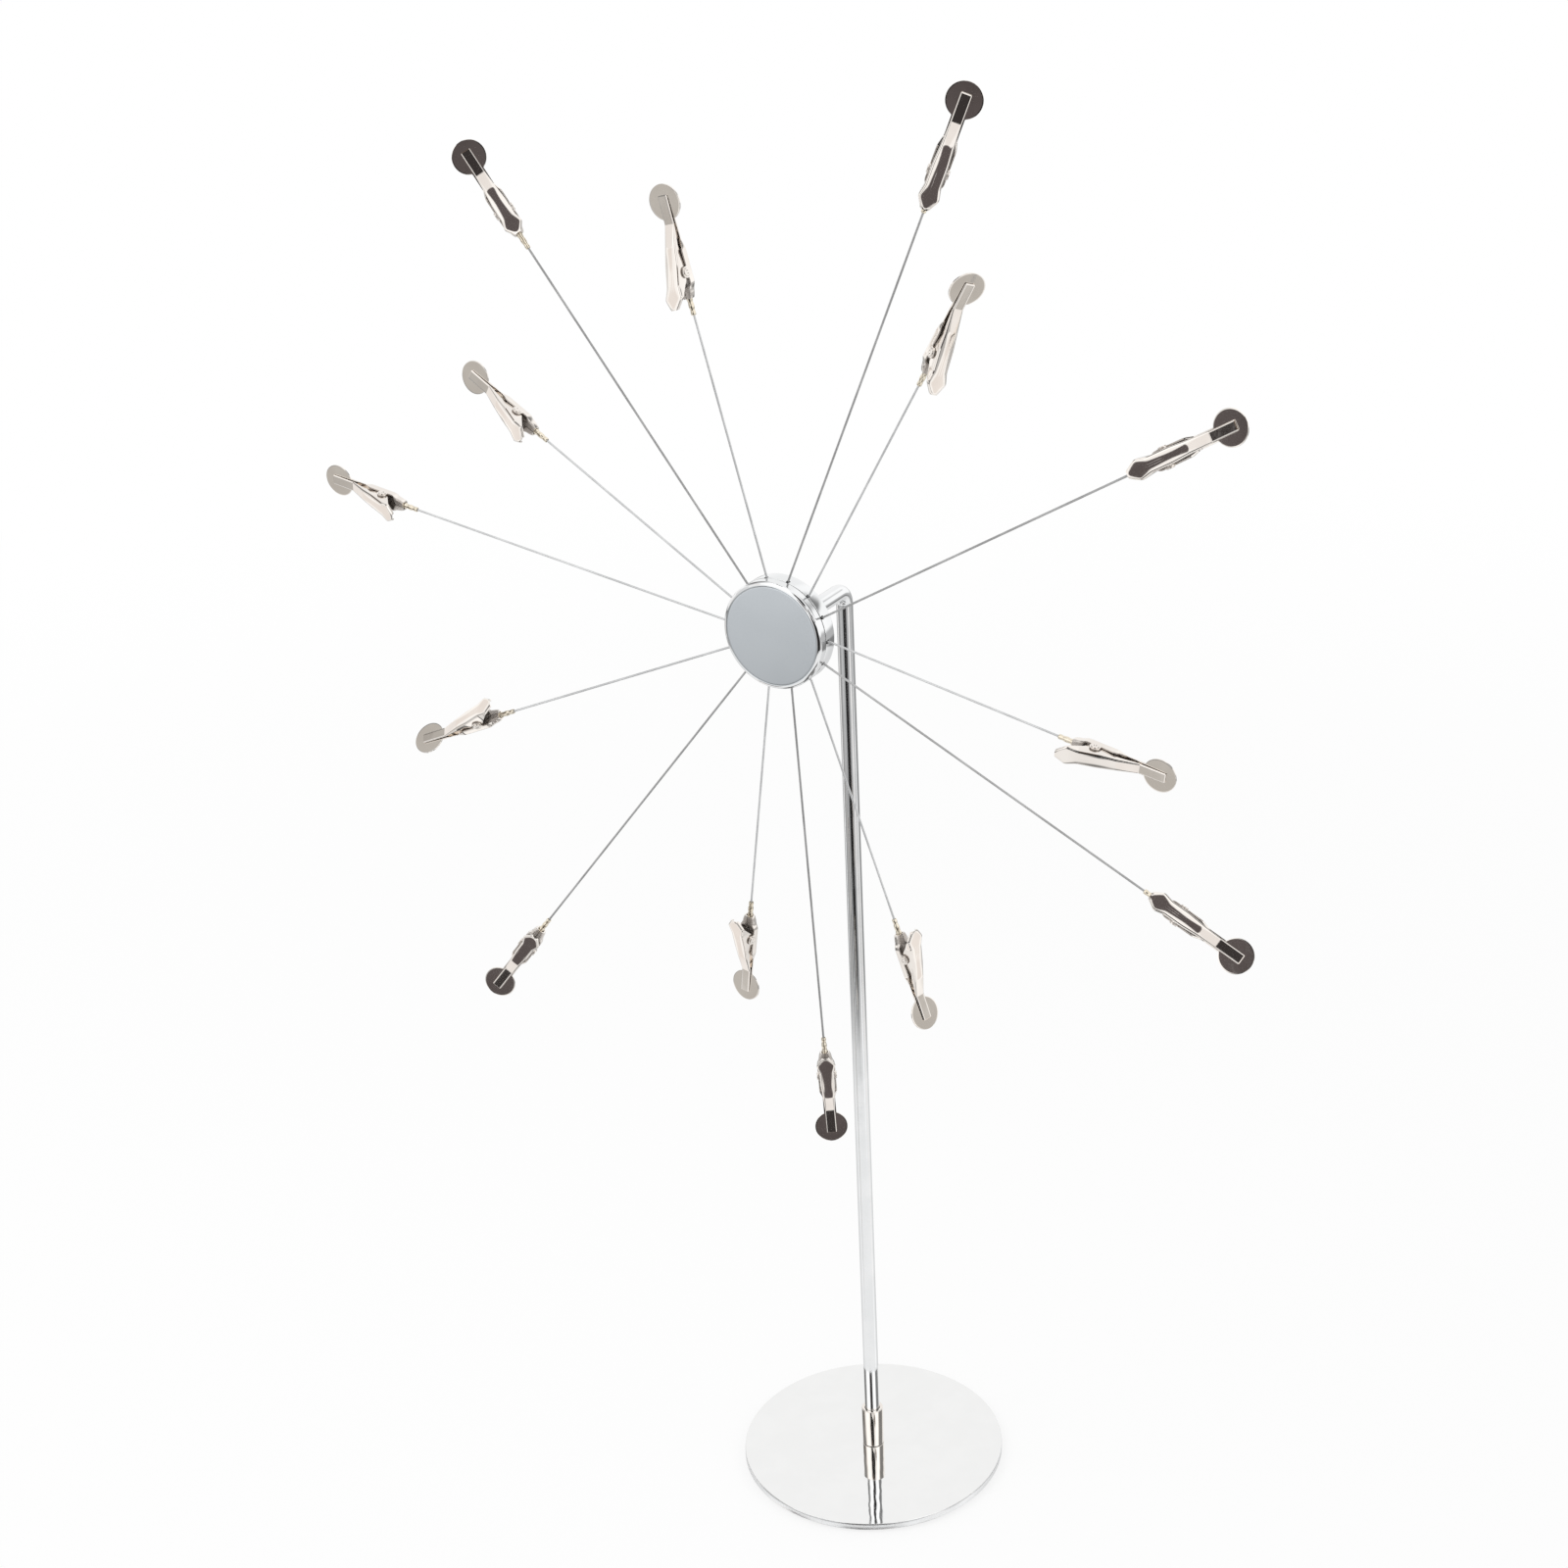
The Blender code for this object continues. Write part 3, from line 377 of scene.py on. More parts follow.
FINISHES = {
    "mirror": plated(
        "base_mirror_chrome", PLATE_CHROME, PLATE_CHROME_DULL, 0.02, 0.03, 4000, 0.0003, wave=(120, 0.05)
    ),
    "rim": plated("base_rim_chrome_painted_light", RIM_CHROME_PAINTED_LIGHT, CHROME, 0.24, 0.06, (900, 4, 1), 0.0008),
    "rod": plated("post_chrome", CHROME, CHROME_DULL, 0.06, 0.05, (60, 400, 1), 0.0008),
    "polished": plated("hub_polished_chrome", CHROME, CHROME_DULL, 0.04, 0.05, (8, 9000, 1), 0.0015),
    "face": satin_face(),
    "ferrule": plated("ferrule_nickel", NICKEL, NICKEL_DULL, 0.06, 0.06, (90, 500, 1), 0.001),
    "jaw": plated("clip_jaw_nickel", NICKEL, NICKEL_DULL, 0.045, 0.05, 2600, 0.0007, wave=(240, 0.004)),
    # Painted shade: a darker nickel for the jaw's inner faces, where shade falls between the clip's parts
    "inside": plated(
        "clip_inside_painted_shade", (0.7, 0.66, 0.62), (0.48, 0.43, 0.39), 0.3, 0.12, 2200, 0.004, metal=0.6
    ),
    # Painted shade: a darker nickel still for the lever's inner faces, in shade over the jaw
    "lever_painted_shade": plated(
        "lever_inside_painted_shade", (0.45, 0.4, 0.36), (0.27, 0.23, 0.2), 0.3, 0.1, 2200, 0.004, metal=0.6
    ),
    "lever": plated("clip_lever_nickel", NICKEL, NICKEL_DULL, 0.045, 0.045, 2600, 0.0005, wave=(240, 0.004)),
    "barrel": plated("crimp_barrel_nickel", (0.9, 0.83, 0.7), (0.78, 0.7, 0.56), 0.12, 0.1, 3000, 0.002),
    "wire": plated("spoke_steel_painted_shade", WIRE, WIRE_DULL, 0.25, 0.12, (14, 300, 1), 0.002, metal=0.6),
    "pale_wire": plated(
        "spoke_steel_painted_light", PALE_WIRE, PALE_WIRE_DULL, 0.25, 0.12, (14, 300, 1), 0.002, metal=0.5
    ),
    "spring": plated("clip_spring_steel", (0.5, 0.48, 0.45), (0.3, 0.28, 0.26), 0.2, 0.15, 3000, 0.002),
    # Painted shade: a dark metal for the walls of the hub's slots and holes and the ferrule's underside,
    # where shade falls
    "gap_shade": plated("hub_gap_painted_shade", (0.2, 0.19, 0.18), (0.11, 0.105, 0.1), 0.45, 0.15, 4000, 0.006),
    "zinc": plated("screw_zinc", (0.62, 0.62, 0.6), (0.5, 0.51, 0.5), 0.28, 0.15, 3500, 0.004),
    "foam": moulded("base_foam_black", (0.02, 0.02, 0.021), (0.035, 0.035, 0.036), 0.85, 3500, 0.15 * MM),
    "nylon": moulded("bush_nylon", (0.8, 0.79, 0.74), (0.74, 0.73, 0.68), 0.42, 2500, 0.02 * MM),
}


# Meshes


def bare_mesh(shape, name):
    """The bmesh as a mesh; the bmesh is used up."""
    mesh = bpy.data.meshes.new(name)
    shape.to_mesh(mesh)
    shape.free()
    return mesh


def into_scene(name, data):
    thing = bpy.data.objects.new(name, data)
    bpy.context.scene.collection.objects.link(thing)
    return thing


def as_mesh(shape, name, *finishes):
    """The bmesh as a mesh, smooth but for its sharp edges, with these finishes."""
    bmesh.ops.remove_doubles(shape, verts=shape.verts, dist=WELD)
    bmesh.ops.dissolve_degenerate(shape, edges=shape.edges, dist=WELD)
    bmesh.ops.recalc_face_normals(shape, faces=shape.faces)
    mesh = bare_mesh(shape, name)
    mesh.shade_smooth()
    mesh.set_sharp_from_angle(angle=SHARP_ANGLE)
    for finish in finishes:
        mesh.materials.append(FINISHES[finish])
    return mesh


def refinish(mesh, belongs):
    """The faces that belong, by their middle and their normal, get the mesh's second finish."""
    for polygon in mesh.polygons:
        if belongs(polygon.center, polygon.normal):
            polygon.material_index = 1


def skin(loops, closed=False):
    """A surface through loops of equal length. It closes on itself, or each end that is open is capped."""
    shape = bmesh.new()
    layer = shape.loops.layers.uv.new("UVMap")
    rows = [[shape.verts.new(point) for point in loop] for loop in loops]
    count = len(rows[0])
    middles = [sum((Vector(point) for point in loop), Vector()) / count for loop in loops]
    reach = [0.0]
    for (one, other), (start, end) in zip(zip(middles, middles[1:]), zip(loops, loops[1:])):
        reach.append(reach[-1] + max((other - one).length, (Vector(end[0]) - Vector(start[0])).length))
    pairs = [(i, i + 1) for i in range(len(rows) - 1)]
    if closed:
        pairs.append((len(rows) - 1, 0))
    for low, high in pairs:
        for side in range(count):
            after = (side + 1) % count
            face = shape.faces.new((rows[low][side], rows[low][after], rows[high][after], rows[high][side]))
            corners = ((side, low), (side + 1, low), (side + 1, high), (side, high))
            for corner, (across, along) in zip(face.loops, corners):
                corner[layer].uv = (across / count, reach[along])
    if not closed:
        for row in (rows[0], rows[-1]):
            if (row[0].co - row[count // 2].co).length > WELD:
                shape.faces.new(row)
    return shape


def circle(place, radius, sides):
    """A ring of points about the matrix's Z."""
    angles = [2 * pi * side / sides for side in range(sides)]
    return [place @ Vector((radius * cos(a), radius * sin(a), 0)) for a in angles]


def turned(profile, sides, place=Matrix(), closed=False):
    """A turned shape from (radius, height) points, about the matrix's Z."""
    return skin([circle(place @ moved(0, 0, height), radius, sides) for radius, height in profile], closed)


def rounded(centre, radius, start, end, steps=4):
    """Points on an arc from one angle to another, in degrees."""
    angles = [radians(start + (end - start) * i / steps) for i in range(steps + 1)]
    return [(centre[0] + radius * cos(a), centre[1] + radius * sin(a)) for a in angles]


def along_path(path):
    """A matrix at each point of a path, with its Z along the path and little twist."""
    places = []
    side = None
    for index, point in enumerate(path):
        before = path[max(index - 1, 0)]
        after = path[min(index + 1, len(path) - 1)]
        ahead = (after - before).normalized()
        if side is None:
            side = ahead.orthogonal()
        side = (side - ahead * side.dot(ahead)).normalized()
        other = ahead.cross(side)
        places.append(moved(*point) @ Matrix((side, other, ahead)).transposed().to_4x4())
    return places


def rod(path, radius, sides, bores=(0, 0)):
    """A round rod along the path, with a screw's bore of this depth in each end."""
    places = along_path(path)
    loops = [circle(place, radius, sides) for place in places]
    edge = 0.12 * radius
    for end, bore in zip((0, -1), bores):
        inward = 1 if end == 0 else -1
        mouth = places[end]
        cap = [circle(mouth, radius - edge, sides)]
        if bore:
            bottom = mouth @ moved(0, 0, inward * bore)
            cap.append(circle(mouth, SCREW_HOLE_RADIUS, sides))
            cap += [circle(bottom, SCREW_HOLE_RADIUS, sides), circle(bottom, 0, sides)]
        rim = circle(mouth @ moved(0, 0, inward * edge), radius, sides)
        if end == 0:
            loops = list(reversed(cap)) + [rim] + loops[1:]
        else:
            loops = loops[:-1] + [rim] + cap
    return skin(loops)


def add_piece(name, mesh, body, place=Matrix(), replaced=None):
    """A piece, in place and riding on its body. The node that it replaces, if one is named, is hidden."""
    piece = into_scene(name, mesh)
    piece.matrix_world = place
    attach(piece, body)
    if replaced:
        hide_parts(replaced)


def cut_away(shape, name, cutter):
    """The shape with the cutter's volume taken out, both given as bmeshes."""
    for source in (shape, cutter):
        bmesh.ops.recalc_face_normals(source, faces=source.faces)
    solid = into_scene(name, bare_mesh(shape, name))
    knife = into_scene(name + "_cutter", bare_mesh(cutter, name + "_cutter"))
    boolean = solid.modifiers.new("cut", "BOOLEAN")
    boolean.operation = "DIFFERENCE"
    boolean.solver = "EXACT"
    boolean.object = knife
    bpy.context.view_layer.update()
    graph = bpy.context.evaluated_depsgraph_get()
    result = bmesh.new()
    result.from_mesh(bpy.data.meshes.new_from_object(solid.evaluated_get(graph)))
    for used in (solid, knife):
        bpy.data.objects.remove(used, do_unlink=True)
    return result


# Base, post and ferrule


def dress_base():
    rim = PLATE_RADIUS - PLATE_TAPER
    edge = PLATE_EDGE
    profile = [
        (SCREW_HOLE_RADIUS, PLATE_TOP),
        (rim - edge - 5 * HAIR, PLATE_TOP),
        *rounded((rim - edge, PLATE_TOP - edge), edge, 90, 10),
        (PLATE_RADIUS, PLATE_TOP - edge - PLATE_TAPER_DEPTH),
        (PLATE_RADIUS, PLATE_BOTTOM + PLATE_BREAK_HEIGHT),
        (PLATE_RADIUS - PLATE_BREAK_WIDTH, PLATE_BOTTOM),
        (COUNTERSINK_RADIUS, PLATE_BOTTOM),
        (SCREW_HOLE_RADIUS, PLATE_BOTTOM + COUNTERSINK_DEPTH),
    ]
    plate = as_mesh(turned(profile, ROUND_STEPS, closed=True), "round_base_plate", "mirror", "rim")
    # The rim's wall gets the second finish: rougher turned chrome, paler as painted light
    refinish(plate, lambda middle, normal: middle.xy.length > rim - edge and abs(normal.z) < 0.5)
    add_piece("round_base_plate", plate, "stand", replaced="base_plate")

    low = PLATE_TOP + FERRULE_LIFT
    outer = FERRULE_RADIUS - FERRULE_EDGE
    profile = [
        (FERRULE_BORE, FERRULE_TOP - FERRULE_MOUTH),
        (FERRULE_BORE + FERRULE_MOUTH, FERRULE_TOP),
        (outer, FERRULE_TOP),
        *rounded((outer, FERRULE_TOP - FERRULE_EDGE), FERRULE_EDGE, 90, 0),
        *rounded((outer, low + FERRULE_EDGE), FERRULE_EDGE, 0, -90),
        (FERRULE_BORE, low),
    ]
    ferrule = as_mesh(turned(profile, RING_STEPS, closed=True), "post_foot_ferrule", "ferrule", "gap_shade")
    # Its underside gets painted shade, the dark second finish
    refinish(ferrule, lambda middle, normal: normal.z < -0.6)
    add_piece("post_foot_ferrule", ferrule, "stand", replaced="post_ferrule")


def dress_post():
    centre = (ELBOW_RADIUS, AXLE_HEIGHT - ELBOW_RADIUS)
    bend = rounded(centre, ELBOW_RADIUS, 180, 90, 20)
    straight = [POST_BOTTOM + (centre[1] - POST_BOTTOM) * i / 12 for i in range(12)]
    path = [Vector((0, 0, height)) for height in straight]
    path += [Vector((0, -forward, height)) for forward, height in bend]
    path.append(Vector((0, -ARM_END, AXLE_HEIGHT)))
    post = rod(path, ROD_RADIUS, ROD_STEPS, (FOOT_BORE_DEPTH, ARM_BORE_DEPTH))
    add_piece("bent_post", as_mesh(post, "bent_post", "rod"), "stand", replaced="post_arm")


# Hub


def falling(start, reach, low, high):
    """Points (radius, height) that fall from a start to this radius, from one slope to a steeper one."""
    low, high = radians(low), radians(high)
    size = (reach - start[0]) / (sin(high) - sin(low))
    slopes = [low + (high - low) * i / FALL_STEPS for i in range(1, FALL_STEPS + 1)]
    rounding = [(sin(a) - sin(low), cos(low) - cos(a)) for a in slopes]
    return [(start[0] + size * out, start[1] - size * down) for out, down in rounding]


def dress_hub():
    face = [(CAP_FLAT_RADIUS, 0)]
    slope = 0
    for reach, steeper in CAP_ROUNDING:
        face += falling(face[-1], reach, slope, steeper)
        slope = steeper
    profile = [
        *[(CAP_FLAT_RADIUS * share, 0) for share in (0, 0.5, 0.98)],
        *face,
        (HUB_RADIUS, -CAP_SIDE),
        (HUB_RADIUS, -CAP_BACK + SEAM_EDGE),
        (HUB_RADIUS - SEAM_EDGE, -CAP_BACK),
        (CAP_POCKET_RADIUS, -CAP_BACK),
        (CAP_POCKET_RADIUS, -CAP_POCKET_DEPTH),
        (0, -CAP_POCKET_DEPTH),
    ]
    cap = as_mesh(turned(profile, ROUND_STEPS, FRONT), "hub_cap", "polished", "face")

    def on_face(middle, normal):
        return normal.y < -0.9 and middle.y < 0.5 * MM and middle.xz.length < CAP_FACE_RADIUS

    refinish(cap, on_face)
    add_piece("hub_cap", cap, "wheel", AXIS, "hub_front_cap")

    profile = [
        (BOSS_INNER, -BOSS_FRONT),
        (BOSS_OUTER, -BOSS_FRONT),
        (BOSS_OUTER, -REAR_FRONT),
        (HUB_RADIUS - SEAM_EDGE, -REAR_FRONT),
        *rounded((HUB_RADIUS - SEAM_EDGE, -REAR_FRONT - SEAM_EDGE), SEAM_EDGE, 90, 0, 3),
        *rounded((HUB_RADIUS - REAR_EDGE, -REAR_BACK + REAR_EDGE), REAR_EDGE, 0, -90, 5),
        (BUSH_BORE, -REAR_BACK),
        (BUSH_BORE, -WEB_FRONT),
        (BOSS_INNER, -WEB_FRONT),
    ]
    disc = turned(profile, ROUND_STEPS, FRONT, closed=True)
    slots = bmesh.new()
    holes = bmesh.new()
    bottom = WIRE_DEPTH + SLOT_HALF_WIDTH
    length = SLOT_END - SLOT_START
    size = Matrix.Diagonal((length, 2 * SLOT_HALF_WIDTH, bottom - SLOT_FRONT, 1))
    in_slot = moved(SLOT_START + length / 2, 0, -(bottom + SLOT_FRONT) / 2)
    in_hole = moved(HUB_RADIUS, 0, -WIRE_DEPTH) @ spun(90, "Y")
    bore = {"radius1": HOLE_RADIUS, "radius2": HOLE_RADIUS, "depth": 2 * HOLE_DEPTH, "segments": SMALL_STEPS}
    for number in range(SPOKE_COUNT):
        turn = FRONT @ spun(hole_angle(number), "Z")
        bmesh.ops.create_cube(slots, size=1, matrix=turn @ in_slot @ size)
        bmesh.ops.create_cone(holes, cap_ends=True, matrix=turn @ in_hole, **bore)
    disc = cut_away(cut_away(disc, "hub_back", slots), "hub_back", holes)
    back = as_mesh(disc, "hub_back", "polished", "gap_shade")

    def is_cut(middle, normal):
        deep = REAR_FRONT + HAIR < middle.y < WIRE_DEPTH + HOLE_RADIUS + HAIR
        return deep and BOSS_OUTER < middle.xz.length < HUB_RADIUS - SEAM_EDGE - 2 * HAIR

    # The walls of the slots and holes get painted shade, the dark second finish
    refinish(back, is_cut)
    add_piece("hub_back", back, "wheel", AXIS, "hub_rear_disc")


# Spokes and clips


def hole_angle(number):
    """The angle of a spoke's slot in degrees, from +X toward +Z."""
    return FIRST_SPOKE_ANGLE - number * 360 / SPOKE_COUNT


def spoke_reach(number):
    """Long and short spokes take turns; the first is long."""
    return SHORT_SPOKE if number % 2 else LONG_SPOKE


def spoke_line(number):
    """Under the wheel's axis: the way out through the slot, the bend's corner and the way on from it."""
    turn, lean, _ = SPOKE_SETTINGS[number]
    hole = radians(hole_angle(number))
    way = radians(hole_angle(number) + turn)
    back = radians(lean)
    outward = Vector((cos(hole), 0, sin(hole)))
    onward = Vector((cos(way) * cos(back), sin(back), sin(way) * cos(back)))
    corner = outward * (HUB_RADIUS + WIRE_STUB) + Vector((0, WIRE_DEPTH, 0))
    return outward, corner, onward


def clip_frame(number):
    """A clip's place: its origin under the disc's centre, its Y toward the hub, its Z toward the lever."""
    _, corner, onward = spoke_line(number)
    front = Vector((0, -1, 0))
    facing = (front - onward * front.dot(onward)).normalized()
    turn = SPOKE_SETTINGS[number][2] + CLIP_TRIMS.get(number, 0)
    facing.rotate(Matrix.Rotation(radians(turn), 3, onward))
    across = (-onward).cross(facing)
    centre = corner + onward * spoke_reach(number) - facing * BARREL_HEIGHT
    return AXIS @ moved(*centre) @ Matrix((across, -onward, facing)).transposed().to_4x4()


def wire_path(number):
    """From inside the slot round the bend to the bottom of the barrel's bore."""
    outward, corner, onward = spoke_line(number)
    trim = WIRE_BEND_RADIUS * tan(outward.angle(onward) / 2)
    before = corner - outward * trim
    after = corner + onward * trim
    end = corner + onward * (spoke_reach(number) - (BARREL_END - BARREL_BORE_DEPTH) - WIRE_GAP)
    path = [outward * WIRE_START + Vector((0, WIRE_DEPTH, 0))]
    shares = [step / BEND_STEPS for step in range(BEND_STEPS + 1)]
    path += [before.lerp(corner, share).lerp(corner.lerp(after, share), share) for share in shares]
    return path + [after.lerp(end, share) for share in shares[1:]]


def between(points, along):
    """The value at a place on a line of (place, value) points."""
    for (start, low), (end, high) in zip(points, points[1:]):
        if along <= end:
            return low + (high - low) * max(along - start, 0) / (end - start)
    return points[-1][1]


def eased(points, along, reach):
    """As between, with each corner rounded over this reach on both sides."""
    places = [along + reach * (i - 3) / 3 for i in range(7)]
    return sum(between(points, place) for place in places) / len(places)


def fold_outline():
    """A pressed fold of radius 1 as (across, drop): two roundings with a flat between them."""
    turns = [radians(angle) for angle in (10, 20, 31, 59, 70, 80, 90)]
    arc = [(sin(a), 1 - cos(a)) for a in turns]
    start, end = Vector(arc[2]), Vector(arc[3])
    return arc[:3] + [tuple(start.lerp(end, share)) for share in (0.08, 0.92)] + arc[3:]


FOLD_OUTLINE = fold_outline()


def section(width, depth, fold, sheet=SHEET, lip=SHEET, crown=0.0, rib=0.0, curl=RIM_BREAK):
    """Half a folded sheet's outline, from the middle of its outer face round the rim to the middle
    of its inner face, as (across, drop). The face is crowned, and the rim may curl in to a lip."""
    lip = max(lip, sheet)
    bore = max(fold - sheet, 0)
    inner = max(width - sheet, 0)

    def face(half, drop):
        rows = [(half * i / FACE_STEPS, drop + crown * (i / FACE_STEPS) ** 2) for i in range(FACE_STEPS + 1)]
        rows[0] = (0, drop - rib)
        return rows

    def corner(half, radius, drop):
        return [(half + radius * across, drop + crown + radius * fall) for across, fall in FOLD_OUTLINE]

    flat = max(width - fold, 0)
    round_out = min(fold, width)
    inner_flat = max(inner - bore, 0)
    points = face(flat, 0) + corner(flat, round_out, 0)
    curl = min(curl, lip, depth - crown - round_out) if depth - crown > round_out else 0
    points += rounded((width - curl, depth - curl), curl, 0, 90, 4)
    points.append((max(width - lip, 0), depth))
    low = max(depth - sheet, sheet + crown)
    points.append((max(width - lip, 0), low))
    points.append((inner, low))
    points += reversed(face(inner_flat, sheet) + corner(inner_flat, min(bore, inner), sheet))
    return points


def folded_sheet(stations):
    """A folded sheet along Y, from (along, height of its outer face, which way its flanges go, section)."""
    loops = []
    for along, height, way, half in stations:
        right = [Vector((across, along, height + way * drop)) for across, drop in half]
        left = [Vector((-point.x, point.y, point.z)) for point in reversed(right[1:-1])]
        loops.append(right + left)
    return skin(loops)


def stepped(stops):
    """Places from the first stop to the last, given as (place, steps to the next stop)."""
    places = []
    for (start, steps), (end, _) in zip(stops, stops[1:]):
        places += [start + (end - start) * i / steps for i in range(steps)]
    return places + [stops[-1][0]]


def jaw_shape():
    """The wire's jaw: the disc, its neck, cheeks with the rivet's ears, and the tail that curls
    over the barrel."""
    neck_angle = asin(NECK_HALF_WIDTH / DISC_RADIUS)
    steps = 28
    turns = [pi + (neck_angle - pi) * i / steps for i in range(steps + 1)]
    outline = [(DISC_RADIUS * cos(a), DISC_RADIUS * sin(a)) for a in turns]
    widths = [
        (NECK_END, NECK_HALF_WIDTH),
        (BODY_START, BODY_HALF_WIDTH),
        (TAIL_START, BODY_HALF_WIDTH),
        (TAIL_START + 1.5 * MM, TAIL_HALF_WIDTH),
        (JAW_END - 1.3 * MM, TAIL_HALF_WIDTH - 0.25 * MM),
        (JAW_END, TAIL_END_HALF_WIDTH),
    ]
    ear = [PIVOT_ALONG - EAR_RADIUS * cos(pi * i / 10) for i in range(11)]
    shoulder = 0.25 * MM
    neck = outline[-1][0] + 0.7 * MM
    places = stepped([(neck, 4), (NECK_END - MM, 9), (BODY_START + MM, 4), (ear[0] - shoulder, 0)])
    places += ear + [ear[-1] + shoulder]
    places += stepped([(ear[-1] + 2 * shoulder, 2), (TAIL_START - 0.6 * MM, 10), (JAW_END, 0)])
    outline += [(place, eased(widths, place, 0.7 * MM)) for place in places]
    outline[-1] = (JAW_END, TAIL_END_HALF_WIDTH)
    heights = [
        (NECK_END, SHEET),
        (BODY_START + SHEET, CHEEK_HEIGHT),
        (TAIL_START, CHEEK_HEIGHT),
        (TAIL_START + MM, TAIL_HEIGHT),
        (JAW_END, TAIL_HEIGHT),
    ]
    folds = [(NECK_END - 2 * MM, 0.1 * MM), (BODY_START, 0.5 * MM), (TAIL_START, 0.6 * MM)]
    folds.append((JAW_END, 1.2 * MM))
    tabs = [(TAIL_START + 0.3 * MM, SHEET), (TAIL_START + 1.3 * MM, TAIL_HALF_WIDTH)]
    curls = [(TAIL_START + 0.3 * MM, RIM_BREAK), (TAIL_START + 1.5 * MM, TAIL_CURL), (JAW_END, TAIL_CURL)]
    stations = []
    for along, width in outline:
        depth = eased(heights, along, 0.3 * MM)
        from_pivot = along - PIVOT_ALONG
        if abs(from_pivot) < EAR_RADIUS:
            depth = max(depth, PIVOT_HEIGHT + sqrt(EAR_RADIUS**2 - from_pivot**2))
        depth = max(depth, SHEET)
        fold = min(between(folds, along), depth)
        lip = min(between(tabs, along), width - 0.12 * MM)
        half = section(width, depth, fold, lip=lip, curl=between(curls, along))
        stations.append((along, 0, 1, half))
    return folded_sheet(stations)


def body_top(along):
    """The height of the lever's body at a place along the clip."""
    return FACET_TOP + (along - FACET_END) * LEVER_RISE


def lever_shape():
    """The lever: strip on the disc, facet, body with its rib, and thumb pad, with flanges that
    hang on the rivet."""
    tip_top, root_top = STRIP_TOP - STRIP_RISE, STRIP_TOP + STRIP_RISE
    thumb_top, end_top = body_top(THUMB_WIDEST), body_top(LEVER_END)
    tops = [(STRIP_TIP, tip_top), (STRIP_END, root_top), (FACET_END, FACET_TOP), (LEVER_END, end_top)]
    widths = [
        (STRIP_TIP, STRIP_HALF_WIDTH),
        (STRIP_END, STRIP_HALF_WIDTH),
        (FACET_END, LEVER_NECK_HALF_WIDTH),
        (EAR_START, LEVER_HALF_WIDTH),
        (THUMB_START, LEVER_HALF_WIDTH),
        (THUMB_WIDEST, THUMB_HALF_WIDTH),
        (LEVER_END, THUMB_END_HALF_WIDTH),
    ]
    rims = [(STRIP_TIP, tip_top - SHEET), (STRIP_END + SHEET, root_top - SHEET)]
    rims.append((FACET_END, FACET_TOP - FLANGE_DEPTH - SHEET))
    ear = rounded((0, 0), EAR_RADIUS, 215, 340, 8)
    rims += [(PIVOT_ALONG + across, PIVOT_HEIGHT + height) for across, height in ear]
    rims += [(THUMB_WIDEST, thumb_top - FLANGE_DEPTH), (LEVER_END, end_top - FLANGE_DEPTH)]
    folds = [(STRIP_END, 0.38 * MM), (FACET_END, 0.75 * MM), (LEVER_END, 0.75 * MM)]
    crowns = [(STRIP_END, 0.0), (FACET_END, 0.05 * MM), (EAR_START, 0.12 * MM), (LEVER_END, 0.05 * MM)]
    ribs = [(19 * MM, 0.0), (23 * MM, 0.03 * MM), (27.5 * MM, 0.03 * MM), (30 * MM, 0.0)]
    edge = 0.3 * MM
    near, far = STRIP_END - 2 * STRIP_BEND, STRIP_END + 2 * STRIP_BEND
    stops = [(STRIP_TIP + 2 * edge, 5), (STRIP_END - MM, 1), (near, 8), (far, 5), (FACET_END - MM, 5)]
    stops += [(FACET_END + MM, 7), (21 * MM, 14), (THUMB_START - 0.6 * MM, 18), (LEVER_END, 0)]
    places = [STRIP_TIP, STRIP_TIP + edge] + stepped(stops)
    stations = []
    for along in places:
        bend = STRIP_BEND if along < STRIP_END + MM else 0.6 * MM
        top = eased(tops, along, bend)
        width = eased(widths, along, 0.5 * MM)
        slope = (eased(tops, along + 0.1 * MM, bend) - eased(tops, along - 0.1 * MM, bend)) / (0.2 * MM)
        sheet = SHEET * hypot(1, slope)
        tip = 1.0 if along == STRIP_TIP else 0.0
        if along == LEVER_END:
            width = THUMB_END_HALF_WIDTH
        top -= edge * tip
        width -= edge * tip
        sheet -= edge * tip
        depth = max(top - between(rims, along), sheet)
        half = section(
            width,
            depth,
            min(between(folds, along) * (1 - 0.9 * tip), depth),
            sheet,
            crown=eased(crowns, along, 0.5 * MM) * (1 - tip),
            rib=between(ribs, along) if ribs[0][0] < along < ribs[-1][0] else 0.0,
        )
        stations.append((along, top, -1, half))
    return folded_sheet(stations)


def rivet_shape():
    """The rivet through both pairs of ears: its pin, and a rolled head with a dimple at each end."""
    across = moved(0, PIVOT_ALONG, PIVOT_HEIGHT) @ spun(90, "Y")
    head = BODY_HALF_WIDTH + 2 * HAIR
    top = BODY_HALF_WIDTH + RIVET_HEAD_HEIGHT
    roll = RIVET_HEAD_HEIGHT / 2
    end = [(radius, top - depth) for radius, depth in RIVET_DIMPLE]
    end.append((RIVET_HEAD_RADIUS - roll, top))
    end += rounded((RIVET_HEAD_RADIUS - roll, top - roll), roll, 60, 0, 2)
    end += [(RIVET_HEAD_RADIUS - 5 * HAIR, head), (RIVET_RADIUS, head)]
    profile = end + [(radius, -height) for radius, height in reversed(end)]
    return turned(profile, SMALL_STEPS, across)


